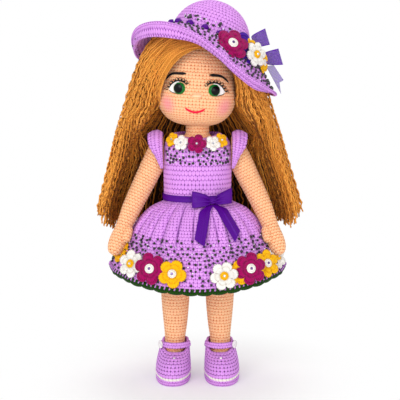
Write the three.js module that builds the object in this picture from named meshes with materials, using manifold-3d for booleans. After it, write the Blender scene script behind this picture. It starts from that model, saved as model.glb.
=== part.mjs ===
// A crocheted doll with yarn hair, a gathered dress, a tilted sun hat and strap shoes.
// Millimetres, +Z up. The doll faces -Y, so its own left side is +X.
import * as THREE from "three";
import { mergeVertices } from "three/addons/utils/BufferGeometryUtils.js";
import Module from "manifold-3d";

const wasm = await Module();
wasm.setup();

// Overall heights, from the floor up
const LEG_LENGTH = 118;
const HIP_TO_WAIST = 73.5;
const WAIST_TO_NECK = 68.5;
const NECK_LENGTH = 8;
const HEAD_HEIGHT = 102;

// Body
const HIP_HALF_WIDTH = 37;
const BODY_HALF_WIDTH = 32.6;
const BODY_HALF_DEPTH = 23.6;
const NECK_RADIUS = 12;
const NECK_INSERT = 11;
const HEAD_HALF_WIDTH = 39.8;
const HEAD_HALF_DEPTH = 38.5;
const HEAD_TILT_DEG = 3.5;
const SEAM_GAP = 0.3;
const WELD_DISTANCE = 1e-4;

// Arms
const SHOULDER_X = 38;
const SHOULDER_Y = 4.5;
const SHOULDER_DROP = 13;
const ARM_LENGTH = 118;
const ARM_RADIUS = 11.4;
const ARM_OUTWARD_DEG = 25.5;
const ARM_FORWARD_DEG = 16.5;
const HAND_THICKNESS = 15;
const THUMB_RADIUS = 4.3;
const THUMB_LENGTH = 17;
const THREAD_RADIUS = 0.7;
const THREAD_CLEARANCE = 0.3;

// Legs and feet
const LEG_X = 23.6;
const THIGH_RADIUS = 15;
const ANKLE_RADIUS = 10.3;
const FOOT_HALF_WIDTH = 13.6;
const FOOT_LENGTH = 44;
const FOOT_HEIGHT = 25;
const HEEL_BACK = 13;

// Neck support, eyes
const DOWEL_RADIUS = 2.5;
const DOWEL_LENGTH = 96;
const DOWEL_IN_CHEST = 34;
const EYE_RADIUS = 6;
const EYE_DOME = 3.2;
const EYE_X = 17;
const EYE_ABOVE_CHIN = 41.2;
const EYE_SHANK_RADIUS = 1.9;
const EYE_SHANK_LENGTH = 9;
const WASHER_RADIUS = 5;
const WASHER_THICKNESS = 1.4;
const STITCHED_WALL = 2.6;

// Dress
const FABRIC = 2.2;
const BODICE_EASE = 0.4;
const SKIRT_LENGTH = 73.5;
const HEM_HALF_WIDTH = 91.5;
const HEM_HALF_DEPTH = 77;
const HEM_BACK = 2;
const HEM_SIDE_RISE = 6.5;
const SKIRT_FOLDS = 16;
const FOLD_DEPTH = 1.7;
const EDGING_HEIGHT = 4.2;
const EDGING_SCALLOPS = 38;
const SCALLOP_DEPTH = 1.2;
const SLEEVE_WIDTH = 15;
const SLEEVE_DROP = 18;
const SLEEVE_SET_IN = 2;
const ARMHOLE_RADIUS = 15.6;
const SASH_HEIGHT = 6.8;
const RIBBON = 0.8;
const BOW_X = 15.5;
const TAILS_APART = 3;
const BOW_LOOP_LENGTH = 20;
const BOW_LOOP_HEIGHT = 14;
const BOW_KNOT_RADIUS = 5.2;
const TAIL_WIDTH = 11;
const TAIL_LENGTH = 34;

// Hair
const HAIR_HALF_WIDTH = 107.5;
const HAIR_BELOW_TOP = 14;
const HAIR_LENGTH = 196;
const HAIR_RISE = 13;
const CROWN_HALF_WIDTH = 48;
const CROWN_HALF_DEPTH = 46;
const CROWN_HEIGHT = 61;
const CROWN_ABOVE_CHIN = 44;
const BACK_HALF_WIDTH = 38.5;
const LOCK_GAP = 0.5;

// Hat
const HAT_CROWN_RADIUS = 40.5;
const HAT_FABRIC = 2.8;
const HAT_RIGHT = 12.9;
const HAT_BACK = 2;
const HAT_BELOW_TOP = 10.8;
const HAT_ROLL_DEG = 22;
const HAT_PITCH_DEG = 12.5;
const BRIM_REACH = 43;
const BRIM_DROOP = 41;
const HAT_CLEARANCE = 0.3;
const HAT_BAND_HEIGHT = 4.5;
const HAT_KNOT_RADIUS = 3.6;
const HAT_LOOP_LENGTH = 17;
const HAT_LOOP_WIDTH = 17;
const HAT_LOOP_DEPTH = 8;
const HAT_TAIL_LENGTH = 33;
const HAT_TAIL_WIDTH = 11;

// Shoes
const SHOE_X = 26;
const SHOE_HALF_WIDTH = 18.4;
const SHOE_FRONT = 36;
const SHOE_BACK = 19;
const SOLE_HEIGHT = 8.2;
const SOLE_FLOOR = 3.4;
const SOLE_WALL = 3.1;
const SOLE_EDGE = 1.8;
const INSOLE_THICKNESS = 1.2;
const COLLAR_HEIGHT = 44;
const VAMP_HEIGHT = 31;
const STRAP_HEIGHT = 5.4;
const STRAP_ABOVE_VAMP = 5;
const BUTTON_RADIUS = 4.4;
const BUTTON_THICKNESS = 2;

// Flowers
const FLOWER_THICKNESS = 3;
const NECK_FLOWER_RADIUS = 8.6;
const HEM_FLOWER_RADIUS = 14;
const HAT_FLOWER_RADIUS = 16.5;
const FLOWER_STEP = 3.4;
const STEM_LENGTH = 24;

// Heights worked out from the sizes above
const HIP_Z = LEG_LENGTH;
const WAIST_Z = HIP_Z + HIP_TO_WAIST;
const NECK_Z = WAIST_Z + WAIST_TO_NECK;
const CHIN_Z = NECK_Z + NECK_LENGTH;
const TOP_Z = CHIN_Z + HEAD_HEIGHT;
const SHOULDER_Z = NECK_Z - SHOULDER_DROP;
const HEM_Z = WAIST_Z - SKIRT_LENGTH;
const BODICE_HALF_WIDTH = BODY_HALF_WIDTH + BODICE_EASE + FABRIC;
const BODICE_HALF_DEPTH = BODY_HALF_DEPTH + BODICE_EASE + FABRIC;
const EYE_Z = CHIN_Z + EYE_ABOVE_CHIN;
const SHANK_SEAT = EYE_SHANK_LENGTH / 3;

const { sin, cos, PI, sqrt, abs, max, min } = Math;
const TURN = 2 * PI;
const OVERRUN = ARM_LENGTH;
const radians = THREE.MathUtils.degToRad;
const vec = (x, y, z) => new THREE.Vector3(x, y, z);
const mix = THREE.MathUtils.lerp;

/** A yarn, felt, ribbon or plastic finish. */
function finish(color, roughness = 0.95) {
  return new THREE.MeshStandardMaterial({ color, roughness, metalness: 0 });
}
const SKIN = finish(0xf4b48e);
const LILAC = finish(0xc98fe0);
const PLUM = finish(0x9c0f63);
const IVORY = finish(0xf6f1e6);
const YELLOW = finish(0xf9b208);
const VIOLET = finish(0x4a1296, 0.6);
const ORGANZA = finish(0x7a35c4, 0.5);
const GREEN = finish(0x1c3d14);
const HAIR = finish(0xb8742a);
const EYE_PLASTIC = finish(0x0c7a2c, 0.2);
const PEARL = finish(0xe4e1e0, 0.25);
const WOOD = finish(0xc8a070, 0.7);
const BOARD = finish(0xd9cdb8, 0.8);

/** Value of a table of [share, value, ...] rows at a share, smoothed between rows. */
function read(rows, share, column = 1) {
  const last = rows.length - 1;
  if (share <= rows[0][0]) return rows[0][column];
  if (share >= rows[last][0]) return rows[last][column];
  const k = rows.findIndex((row) => row[0] > share) - 1;
  const [a, b] = [rows[k], rows[k + 1]];
  const before = rows[max(k - 1, 0)];
  const after = rows[min(k + 2, last)];
  const span = b[0] - a[0];
  const slopeIn = ((b[column] - before[column]) / (b[0] - before[0])) * span;
  const slopeOut = ((after[column] - a[column]) / (after[0] - a[0])) * span;
  const t = (share - a[0]) / span;
  const [t2, t3] = [t * t, t * t * t];
  return (
    (2 * t3 - 3 * t2 + 1) * a[column] +
    (t3 - 2 * t2 + t) * slopeIn +
    (3 * t2 - 2 * t3) * b[column] +
    (t3 - t2) * slopeOut
  );
}

/** Geometry of a closed surface from its points and faces, turned to face outwards. */
function closedGeometry(points, faces) {
  let volume = 0;
  for (const [a, b, c] of faces)
    volume += points[a].dot(vec(0, 0, 0).crossVectors(points[b], points[c]));
  const index = faces.flatMap(([a, b, c]) => (volume > 0 ? [a, b, c] : [a, c, b]));
  return new THREE.BufferGeometry().setFromPoints(points).setIndex(index);
}

/** Surface over rings of equal count, closed by a point at each end. */
function skin(rings) {
  const n = rings[0].length;
  const middle = (ring) => ring.reduce((s, p) => s.add(p), vec(0, 0, 0)).divideScalar(n);
  const points = [...rings.flat(), middle(rings[0]), middle(rings[rings.length - 1])];
  const first = points.length - 2;
  const faces = [];
  for (let i = 0; i < n; i++) {
    const j = (i + 1) % n;
    const top = (rings.length - 1) * n;
    faces.push([first, j, i], [first + 1, top + i, top + j]);
    for (let r = 0; r < rings.length - 1; r++) {
      const [a, b, c, d] = [r * n + i, r * n + j, (r + 1) * n + j, (r + 1) * n + i];
      faces.push([a, b, c], [a, c, d]);
    }
  }
  return closedGeometry(points, faces);
}

/** Sheet of even thickness over surface(u, v), with u round a closed loop where asked. */
function sheet(surface, { across, along, wall, loop = false }) {
  const columns = loop ? across : across + 1;
  const step = 1e-3;
  const sides = [[], []];
  for (let j = 0; j <= along; j++)
    for (let i = 0; i < columns; i++) {
      const [u, v] = [i / across, j / along];
      const p = surface(u, v);
      const du = surface(u + step, v).sub(surface(u - step, v));
      const dv = surface(u, min(v + step, 1)).sub(surface(u, max(v - step, 0)));
      const normal = du.cross(dv).setLength(wall / 2);
      sides[0].push(p.clone().add(normal));
      sides[1].push(p.clone().sub(normal));
    }
  const count = sides[0].length;
  const at = (i, j, side) => side * count + j * columns + (i % columns);
  const faces = [];
  const quad = (a, b, c, d) => faces.push([a, b, c], [a, c, d]);
  for (let j = 0; j < along; j++)
    for (let i = 0; i < across; i++) {
      quad(at(i, j, 0), at(i + 1, j, 0), at(i + 1, j + 1, 0), at(i, j + 1, 0));
      quad(at(i, j, 1), at(i, j + 1, 1), at(i + 1, j + 1, 1), at(i + 1, j, 1));
    }
  for (let i = 0; i < across; i++) {
    quad(at(i, 0, 0), at(i, 0, 1), at(i + 1, 0, 1), at(i + 1, 0, 0));
    quad(at(i, along, 0), at(i + 1, along, 0), at(i + 1, along, 1), at(i, along, 1));
  }
  for (let j = 0; j < along && !loop; j++) {
    quad(at(0, j, 0), at(0, j + 1, 0), at(0, j + 1, 1), at(0, j, 1));
    quad(at(across, j, 0), at(across, j, 1), at(across, j + 1, 1), at(across, j + 1, 0));
  }
  return closedGeometry(sides.flat(), faces);
}

/** An ellipse of points at one height, front first. */
function oval(halfWidth, halfDepth, z, count, centre = [0, 0]) {
  return Array.from({ length: count }, (_, i) => {
    const a = (i / count) * TURN - PI / 2;
    return vec(centre[0] + halfWidth * cos(a), centre[1] + halfDepth * sin(a), z);
  });
}

/** A stuffed tube along a path: stations are [centre, radius across, radius in depth]. */
function tube(stations, count) {
  const rings = stations.map(([centre, wide, deep], k) => {
    const ahead = stations[min(k + 1, stations.length - 1)][0];
    const behind = stations[max(k - 1, 0)][0];
    const along = ahead.clone().sub(behind).normalize();
    const side = vec(0, -1, 0).cross(along).normalize();
    const front = along.clone().cross(side).normalize();
    return Array.from({ length: count }, (_, i) => {
      const a = (i / count) * TURN;
      return centre
        .clone()
        .addScaledVector(side, wide * cos(a))
        .addScaledVector(front, deep * sin(a));
    });
  });
  return skin(rings);
}

/** A manifold solid of a closed geometry. */
function solid(geometry) {
  const bare = geometry.index ? geometry.toNonIndexed() : geometry.clone();
  bare.deleteAttribute("normal");
  bare.deleteAttribute("uv");
  const merged = mergeVertices(bare, WELD_DISTANCE);
  return new wasm.Manifold(
    new wasm.Mesh({
      numProp: 3,
      vertProperties: new Float32Array(merged.attributes.position.array),
      triVerts: new Uint32Array(merged.index.array),
    }),
  );
}

/** The geometry of a manifold solid. */
function shapeOf(made) {
  const { vertProperties, triVerts } = made.getMesh();
  return new THREE.BufferGeometry()
    .setAttribute("position", new THREE.BufferAttribute(vertProperties, 3))
    .setIndex(new THREE.BufferAttribute(triVerts, 1));
}

const cut = (body, ...tools) => tools.reduce((made, tool) => made.subtract(solid(tool)), solid(body));
const join = (...bodies) => bodies.map(solid).reduce((made, body) => made.add(body));

/** A cylinder from one point to another. */
function rod(from, to, radius, count = 20) {
  const axis = to.clone().sub(from);
  const turn = new THREE.Quaternion().setFromUnitVectors(vec(0, 1, 0), axis.clone().normalize());
  return new THREE.CylinderGeometry(radius, radius, axis.length(), count)
    .applyQuaternion(turn)
    .translate(...from.clone().add(to).divideScalar(2).toArray());
}

/** A box between two corners. */
function block(low, high) {
  const size = high.clone().sub(low);
  return new THREE.BoxGeometry(...size.toArray()).translate(...low.add(high).divideScalar(2).toArray());
}

const doll = new THREE.Group();

/** Adds a named piece to the doll or to one of its groups. */
function piece(name, shape, material, parent = doll) {
  const geometry = shape.isBufferGeometry ? shape : shapeOf(shape);
  geometry.computeVertexNormals();
  const mesh = new THREE.Mesh(geometry, material);
  mesh.name = name;
  parent.add(mesh);
  return mesh;
}

// Head: an egg with full cheeks, widest a third of the way up
const HEAD_SHARES = [
  [0, 0.33], [0.03, 0.56], [0.08, 0.74], [0.16, 0.895], [0.25, 0.972], [0.34, 1], [0.45, 0.99],
  [0.56, 0.955], [0.68, 0.88], [0.79, 0.765], [0.88, 0.6], [0.95, 0.4], [1, 0.1],
];
function headRings(grow, count) {
  return HEAD_SHARES.map(([share, width]) => {
    const z = CHIN_Z + mix(-grow, HEAD_HEIGHT + grow, share);
    return oval(HEAD_HALF_WIDTH * width + grow, HEAD_HALF_DEPTH * width + grow, z, count);
  });
}

/** Leans a geometry of the head towards the doll's left, about the head's middle. */
function tilted(geometry) {
  const middle = CHIN_Z + HEAD_HEIGHT / 2;
  return geometry.translate(0, 0, -middle).rotateY(radians(HEAD_TILT_DEG)).translate(0, 0, middle);
}

/** Point on the head's front at a place across and up. */
function faceAt(x, z) {
  const width = read(HEAD_SHARES, (z - CHIN_Z) / HEAD_HEIGHT);
  const y = -HEAD_HALF_DEPTH * width * sqrt(1 - (x / (HEAD_HALF_WIDTH * width)) ** 2);
  return vec(x, y, z);
}

/** An eye lies in its own frame with +Z out of the face; this puts a geometry there. */
function onFace(geometry, side) {
  const centre = faceAt(side * EYE_X, EYE_Z);
  const outward = vec(centre.x / HEAD_HALF_WIDTH, centre.y / HEAD_HALF_DEPTH, 0).normalize();
  const turn = new THREE.Quaternion().setFromUnitVectors(vec(0, 0, 1), outward);
  return tilted(geometry.applyQuaternion(turn).translate(...centre.toArray()));
}
const profile = (points) =>
  new THREE.LatheGeometry(points.map(([r, z]) => new THREE.Vector2(r, z)), 10).rotateX(PI / 2);

function eyeShape() {
  return profile([
    [0, -EYE_SHANK_LENGTH],
    [EYE_SHANK_RADIUS, -EYE_SHANK_LENGTH],
    [EYE_SHANK_RADIUS, -SHANK_SEAT / 2],
    [EYE_RADIUS, -SHANK_SEAT / 2],
    [EYE_RADIUS, 0],
    [EYE_RADIUS * cos(PI / 5), EYE_DOME * sin(PI / 4)],
    [0, EYE_DOME],
  ]);
}
function eyeSeat() {
  const bore = EYE_SHANK_RADIUS + SEAM_GAP;
  const pocket = WASHER_RADIUS + SEAM_GAP;
  const front = -SHANK_SEAT / 2 - STITCHED_WALL;
  const back = front - WASHER_THICKNESS - 2 * SEAM_GAP;
  return profile([
    [0, -EYE_SHANK_LENGTH - SEAM_GAP],
    [bore, -EYE_SHANK_LENGTH - SEAM_GAP],
    [bore, back],
    [pocket, back],
    [pocket, front],
    [bore, front],
    [bore, -SHANK_SEAT / 2 - SEAM_GAP],
    [EYE_RADIUS + SEAM_GAP, -SHANK_SEAT / 2 - SEAM_GAP],
    [EYE_RADIUS + SEAM_GAP, EYE_RADIUS],
    [0, EYE_RADIUS],
  ]);
}
function washerShape() {
  const front = -SHANK_SEAT / 2 - STITCHED_WALL - SEAM_GAP;
  const hole = EYE_SHANK_RADIUS + SEAM_GAP;
  return profile([
    [hole, front - WASHER_THICKNESS],
    [WASHER_RADIUS, front - WASHER_THICKNESS],
    [WASHER_RADIUS, front],
    [hole, front],
    [hole, front - WASHER_THICKNESS],
  ]);
}

const SIDES = [["right", -1], ["left", 1]];
const HEAD_SIDES = 26;
const TORSO_SIDES = 24;
const dowelLow = NECK_Z - DOWEL_IN_CHEST;
const dowelBore = rod(
  vec(0, 0, dowelLow - SEAM_GAP),
  vec(0, 0, dowelLow + DOWEL_LENGTH + SEAM_GAP),
  DOWEL_RADIUS + SEAM_GAP,
  16,
);
const neckTop = CHIN_Z + NECK_INSERT;
const neckSocket = rod(
  vec(0, 0, CHIN_Z - HEAD_HEIGHT),
  vec(0, 0, neckTop + SEAM_GAP),
  NECK_RADIUS + SEAM_GAP,
  TORSO_SIDES,
);
const eyeSeats = SIDES.map(([, side]) => onFace(eyeSeat(), side));
piece("head", cut(tilted(skin(headRings(0, HEAD_SIDES))), neckSocket, dowelBore, ...eyeSeats), SKIN);
const dowel = rod(vec(0, 0, dowelLow), vec(0, 0, dowelLow + DOWEL_LENGTH), DOWEL_RADIUS, 14);
piece("neck_dowel", dowel, WOOD);
for (const [name, side] of SIDES) {
  piece(`eye_${name}`, onFace(eyeShape(), side), EYE_PLASTIC);
  piece(`eye_washer_${name}`, onFace(washerShape(), side), PEARL);
}

// Torso: hips to neck in one stuffed piece
const TORSO_SHARES = [
  [0, 0.9, 0.86], [0.04, 1, 1], [0.16, 1.0, 1.04], [0.3, 0.94, 1.02], [0.44, 0.87, 0.96],
  [0.58, 0.87, 0.97], [0.72, 0.881, 1], [0.86, 0.881, 0.98], [0.93, 0.84, 0.9],
  [0.965, 0.73, 0.8], [0.985, 0.54, 0.66], [1, 0.36, 0.52],
];
function torsoRings(grow, count) {
  const height = NECK_Z - HIP_Z;
  const rings = TORSO_SHARES.map(([share, width, depth]) => {
    const z = HIP_Z + height * share + grow;
    return oval(HIP_HALF_WIDTH * width + grow, BODY_HALF_DEPTH * depth + grow, z, count);
  });
  const neck = NECK_RADIUS + grow;
  for (const z of [NECK_Z + NECK_LENGTH / 3, neckTop]) rings.push(oval(neck, neck, z + grow, count));
  return rings;
}
const shoulderPoint = (side) => vec(side * SHOULDER_X, SHOULDER_Y, SHOULDER_Z);
const threadReach = SHOULDER_X + ARM_RADIUS;
const threadAt = (x) => vec(x, SHOULDER_Y, SHOULDER_Z);
const boreRadius = THREAD_RADIUS + THREAD_CLEARANCE;
const threadBore = rod(threadAt(-threadReach * 2), threadAt(threadReach * 2), boreRadius, 8);
piece("torso", cut(skin(torsoRings(0, TORSO_SIDES)), dowelBore, threadBore), SKIN);
piece("shoulder_thread", rod(threadAt(-threadReach), threadAt(threadReach), THREAD_RADIUS, 8), IVORY);

// Arms: a sewn disc turns in the armhole, and the limb tapers to a flat hand with a thumb
const ARM_SHARES = [
  [-0.098, 0.12], [-0.085, 0.5], [-0.05, 0.84], [0, 1], [0.12, 1.04], [0.3, 0.99], [0.45, 0.93],
  [0.6, 0.85], [0.72, 0.78], [0.8, 0.8], [0.88, 0.86], [0.94, 0.78], [0.985, 0.5], [1, 0.1],
];
const HAND_START_SHARE = 0.72;
function armPoint(side, share) {
  const [out, ahead] = [radians(ARM_OUTWARD_DEG), radians(ARM_FORWARD_DEG)];
  const bend = 1.2 * share * share - 0.2 * share;
  const way = vec(side * sin(out) * share, -sin(ahead) * bend, -cos(out) * cos(ahead) * share);
  return shoulderPoint(side).addScaledVector(way, ARM_LENGTH);
}
function armShape(side) {
  const stations = ARM_SHARES.map(([share, thick]) => {
    const flat = THREE.MathUtils.smoothstep(share, HAND_START_SHARE, 1);
    const wide = ARM_RADIUS * thick;
    return [armPoint(side, share), wide, mix(wide, min(wide, HAND_THICKNESS / 2), flat)];
  });
  const limb = tube(stations, 12);
  const palmEdge = vec((-side * ARM_RADIUS) / 2, -THUMB_RADIUS, 0);
  const thumbTop = armPoint(side, HAND_START_SHARE).add(palmEdge);
  const along = armPoint(side, 1).sub(armPoint(side, HAND_START_SHARE)).normalize();
  const THUMB_SHARES = [[0, 0.3], [0.08, 0.8], [0.35, 1], [0.75, 1], [0.93, 0.7], [1, 0.2]];
  const lean = vec(-side * THUMB_RADIUS, -THUMB_RADIUS, 0);
  const thumb = tube(
    THUMB_SHARES.map(([share, thick]) => [
      thumbTop.clone().addScaledVector(along, THUMB_LENGTH * share).addScaledVector(lean, share / 2),
      THUMB_RADIUS * thick,
      THUMB_RADIUS * thick,
    ]),
    8,
  );
  const face = BODICE_HALF_WIDTH + SEAM_GAP;
  const inward = (x) => vec(side * x, SHOULDER_Y, SHOULDER_Z);
  const discRadius = ARM_RADIUS - SEAM_GAP;
  const disc = rod(inward(BODY_HALF_WIDTH + SEAM_GAP), inward(face + FABRIC), discRadius, 16);
  const bodySide = block(
    vec(side > 0 ? -OVERRUN : -face, -OVERRUN, 0),
    vec(side > 0 ? face : OVERRUN, OVERRUN, TOP_Z),
  );
  return join(limb, thumb).subtract(solid(bodySide)).add(solid(disc)).subtract(solid(threadBore));
}
for (const [name, side] of SIDES) piece(`arm_${name}`, armShape(side), SKIN);

// Legs: firm tubes that end in a foot with a flat sole
const LEG_SHARES = [
  [0, 1.04], [0.12, 1], [0.3, 0.95], [0.5, 0.82], [0.66, 0.69], [0.75, 0.687], [0.86, 0.75],
];
const LEG_SIDES = 16;
const insoleTop = SOLE_FLOOR + SEAM_GAP + INSOLE_THICKNESS;
function legShape(side) {
  const footFloor = insoleTop + SEAM_GAP;
  const length = HIP_Z - SEAM_GAP - footFloor;
  const rings = LEG_SHARES.map(([share, thick]) => {
    const x = mix(LEG_X, SHOE_X, THREE.MathUtils.smoothstep(share, 0.5, 1));
    const radius = THIGH_RADIUS * thick;
    return oval(radius, radius, HIP_Z - SEAM_GAP - length * share, LEG_SIDES, [side * x, 0]);
  });
  const foot = new THREE.SphereGeometry(1, LEG_SIDES, 8)
    .scale(FOOT_HALF_WIDTH, FOOT_LENGTH / 2, FOOT_HEIGHT)
    .translate(side * SHOE_X, HEEL_BACK - FOOT_LENGTH / 2, footFloor);
  const floor = block(vec(-OVERRUN, -OVERRUN, -OVERRUN), vec(OVERRUN, OVERRUN, footFloor));
  return join(skin(rings), foot).subtract(solid(floor));
}
for (const [name, side] of SIDES) piece(`leg_${name}`, legShape(side), SKIN);

// Shoes: a cupped sole with an insole, an upper round the foot, a strap and a pearl button
const SHOE_SIDES = 24;
const shoeCorner = (value) => Math.sign(value) * abs(value) ** 0.86;
function shoeOutline(side, inset, z, count) {
  return Array.from({ length: count }, (_, i) => {
    const a = (i / count) * TURN - PI / 2;
    const length = sin(a) < 0 ? SHOE_FRONT : SHOE_BACK;
    const narrow = 1 - 0.09 * max(0, sin(a));
    return vec(
      side * SHOE_X + (SHOE_HALF_WIDTH - inset) * narrow * shoeCorner(cos(a)),
      (length - inset) * shoeCorner(sin(a)),
      z,
    );
  });
}
function soleShape(side) {
  const outer = skin([
    shoeOutline(side, SOLE_EDGE, 0, SHOE_SIDES),
    shoeOutline(side, 0, SOLE_EDGE, SHOE_SIDES),
    shoeOutline(side, 0, SOLE_HEIGHT, SHOE_SIDES),
  ]);
  const inner = skin([
    shoeOutline(side, SOLE_WALL, SOLE_FLOOR, SHOE_SIDES),
    shoeOutline(side, SOLE_WALL, SOLE_HEIGHT + OVERRUN, SHOE_SIDES),
  ]);
  return cut(outer, inner);
}
function upperPoint(side, u, v) {
  const a = u * TURN - PI / 2;
  const length = sin(a) < 0 ? SHOE_FRONT : SHOE_BACK;
  const narrow = 1 - 0.09 * max(0, sin(a));
  const base = vec(
    side * SHOE_X + (SHOE_HALF_WIDTH - FABRIC / 2) * narrow * shoeCorner(cos(a)),
    (length - FABRIC / 2) * shoeCorner(sin(a)),
    SOLE_HEIGHT + SEAM_GAP,
  );
  const back = (1 + sin(a)) / 2;
  const collar = ANKLE_RADIUS + FABRIC + 2 * SEAM_GAP;
  const reach = sin(a) < 0 ? collar + FABRIC : collar;
  const rimHeight = mix(VAMP_HEIGHT, COLLAR_HEIGHT, back ** 0.8);
  const rim = vec(side * LEG_X + collar * cos(a), reach * sin(a), rimHeight);
  const swell = mix(VAMP_HEIGHT * 0.72, COLLAR_HEIGHT / 2, back);
  const shoulder = vec(base.x, base.y * mix(1.06, 1, back), swell);
  const w = 1 - v;
  return base
    .multiplyScalar(w * w)
    .addScaledVector(shoulder, 2 * v * w)
    .addScaledVector(rim, v * v);
}
function upperShape(side) {
  return sheet((u, v) => upperPoint(side, u, v), { across: 20, along: 4, wall: FABRIC, loop: true });
}
function strapShape(side) {
  const radius = ANKLE_RADIUS + FABRIC * 1.5 + 2 * SEAM_GAP;
  const low = VAMP_HEIGHT + STRAP_ABOVE_VAMP;
  return sheet(
    (u, v) => {
      const a = mix(-PI * 0.98, -PI * 0.02, u);
      const flare = radius + FABRIC * 0.5 + (1 - v) * FABRIC * 0.4;
      return vec(side * LEG_X + flare * cos(a), flare * sin(a) * 1.1, low + STRAP_HEIGHT * v);
    },
    { across: 12, along: 1, wall: FABRIC * 0.8 },
  );
}
for (const [name, side] of SIDES) {
  piece(`shoe_sole_${name}`, soleShape(side), LILAC);
  const insole = skin([
    shoeOutline(side, SOLE_WALL + SEAM_GAP, SOLE_FLOOR + SEAM_GAP, SHOE_SIDES),
    shoeOutline(side, SOLE_WALL + SEAM_GAP, insoleTop, SHOE_SIDES),
  ]);
  piece(`insole_${name}`, insole, BOARD);
  piece(`shoe_upper_${name}`, upperShape(side), LILAC);
  piece(`shoe_strap_${name}`, strapShape(side), LILAC);
  const strapOut = ANKLE_RADIUS + FABRIC * 2.5 + 5 * SEAM_GAP;
  const buttonZ = VAMP_HEIGHT + STRAP_ABOVE_VAMP + STRAP_HEIGHT / 2;
  const turned = radians(30);
  const out = (reach) =>
    vec(side * (LEG_X + reach * cos(turned)), -reach * sin(turned) * 1.1, buttonZ);
  const button = rod(out(strapOut), out(strapOut + BUTTON_THICKNESS), BUTTON_RADIUS, 14);
  piece(`shoe_button_${name}`, button, PEARL);
}

// Dress bodice, with a neckline and two armholes
const BODICE_SHARES = [
  [0, 0.99, 0.99], [0.25, 0.995, 1], [0.5, 1, 1.01], [0.72, 1, 0.99], [0.84, 0.97, 0.93],
  [0.92, 0.88, 0.84], [0.97, 0.74, 0.74], [1, 0.66, 0.68],
];
const bodiceTop = NECK_Z + FABRIC;
function bodicePoint(u, v, out = 0) {
  const a = u * TURN - PI / 2;
  const width = BODICE_HALF_WIDTH * read(BODICE_SHARES, v, 1) - FABRIC / 2 + out;
  const depth = BODICE_HALF_DEPTH * read(BODICE_SHARES, v, 2) - FABRIC / 2 + out;
  const scoop = NECK_LENGTH * v ** 6 * max(0, -sin(a)) ** 2 * 0.6;
  return vec(width * cos(a), depth * sin(a), mix(WAIST_Z, bodiceTop, v) - scoop);
}
const bodiceSheet = (wall) =>
  sheet((u, v) => bodicePoint(u, v), { across: 24, along: 7, wall, loop: true });
const armholes = rod(threadAt(-OVERRUN), threadAt(OVERRUN), ARM_RADIUS + SEAM_GAP, 16);
const armClear = SIDES.map(([, side]) =>
  block(
    vec(side > 0 ? BODICE_HALF_WIDTH : -OVERRUN, -OVERRUN, 0),
    vec(side > 0 ? OVERRUN : -BODICE_HALF_WIDTH, OVERRUN, TOP_Z),
  ),
);
const bodyRoom = skin(torsoRings(SEAM_GAP, TORSO_SIDES).slice(8));
piece("dress_bodice", cut(bodiceSheet(FABRIC), bodyRoom, armholes, ...armClear), LILAC);

// Flutter sleeves: a bowed frill from the front of the armhole over the shoulder to the back
const SLEEVE_SHARES = [
  [0, 0.06], [0.12, 0.42], [0.24, 0.86], [0.36, 1], [0.5, 1.02],
  [0.64, 1], [0.76, 0.86], [0.88, 0.42], [1, 0.06],
];
const SLEEVE_ARC_SHARE = 0.62;
function sleevePoint(side, u, v) {
  const straight = (1 - SLEEVE_ARC_SHARE) / 2;
  const down = max(0, straight - u, u - 1 + straight) / straight;
  const a = PI * THREE.MathUtils.clamp((u - straight) / SLEEVE_ARC_SHARE, 0, 1);
  const width = read(SLEEVE_SHARES, u);
  const bulge = 3.6 * width * sin(PI * min(1, 0.12 + v * 0.95));
  const radius = ARMHOLE_RADIUS + (bulge * FABRIC) / 2;
  return vec(
    side * (BODICE_HALF_WIDTH + FABRIC / 2 + SEAM_GAP + SLEEVE_WIDTH * width * v),
    SHOULDER_Y - SLEEVE_SET_IN - radius * cos(a) * (1 - 0.1 * down),
    SHOULDER_Z - SLEEVE_SET_IN + radius * sin(a) * 0.99 - SLEEVE_DROP * down,
  );
}
for (const [name, side] of SIDES)
  piece(
    `sleeve_${name}`,
    sheet((u, v) => sleevePoint(side, u, v), { across: 20, along: 3, wall: FABRIC * 0.8 }),
    LILAC,
  );

// Skirt: gathered at the waist, with soft folds that fade into a bell-shaped hem
const SKIRT_SHARES = [
  [0, 0.388], [0.03, 0.425], [0.105, 0.515], [0.207, 0.602], [0.322, 0.678], [0.437, 0.738],
  [0.56, 0.8], [0.72, 0.884], [0.88, 0.952], [1, 1],
];
const FOLD_SHARES = [[0, 0.25], [0.2, 0.9], [0.45, 1], [0.7, 0.6], [1, 0.35]];
const waistRatio = BODICE_HALF_DEPTH / BODICE_HALF_WIDTH;
const hemRatio = HEM_HALF_DEPTH / HEM_HALF_WIDTH;
function skirtPoint(u, v, out = 0) {
  const a = u * TURN - PI / 2;
  const fold = FOLD_DEPTH * read(FOLD_SHARES, v) * cos(SKIRT_FOLDS * (a + PI / 2));
  const half = HEM_HALF_WIDTH * read(SKIRT_SHARES, v) + fold + out;
  const ratio = mix(waistRatio, hemRatio, min(1, v * 1.4));
  const rise = -HEM_SIDE_RISE * cos(2 * (a + PI / 2)) * v * v;
  const z = WAIST_Z - SEAM_GAP - SKIRT_LENGTH * v + rise;
  return vec(half * cos(a), half * ratio * sin(a) + HEM_BACK * v, z);
}
const skirtSheet = (wall) =>
  sheet((u, v) => skirtPoint(u, v), { across: SKIRT_FOLDS * 4, along: 5, wall, loop: true });
piece("dress_skirt", skirtSheet(FABRIC), LILAC);

// Green crochet edging below the hem, in scallops
piece(
  "hem_edging",
  sheet(
    (u, v) => {
      const lobe = SCALLOP_DEPTH * abs(sin(EDGING_SCALLOPS * PI * u)) * v;
      const drop = SEAM_GAP * 2 + (EDGING_HEIGHT - SCALLOP_DEPTH) * v + lobe;
      return skirtPoint(u, 1).add(vec(0, 0, -drop));
    },
    { across: EDGING_SCALLOPS * 2, along: 1, wall: FABRIC, loop: true },
  ),
  GREEN,
);

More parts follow.
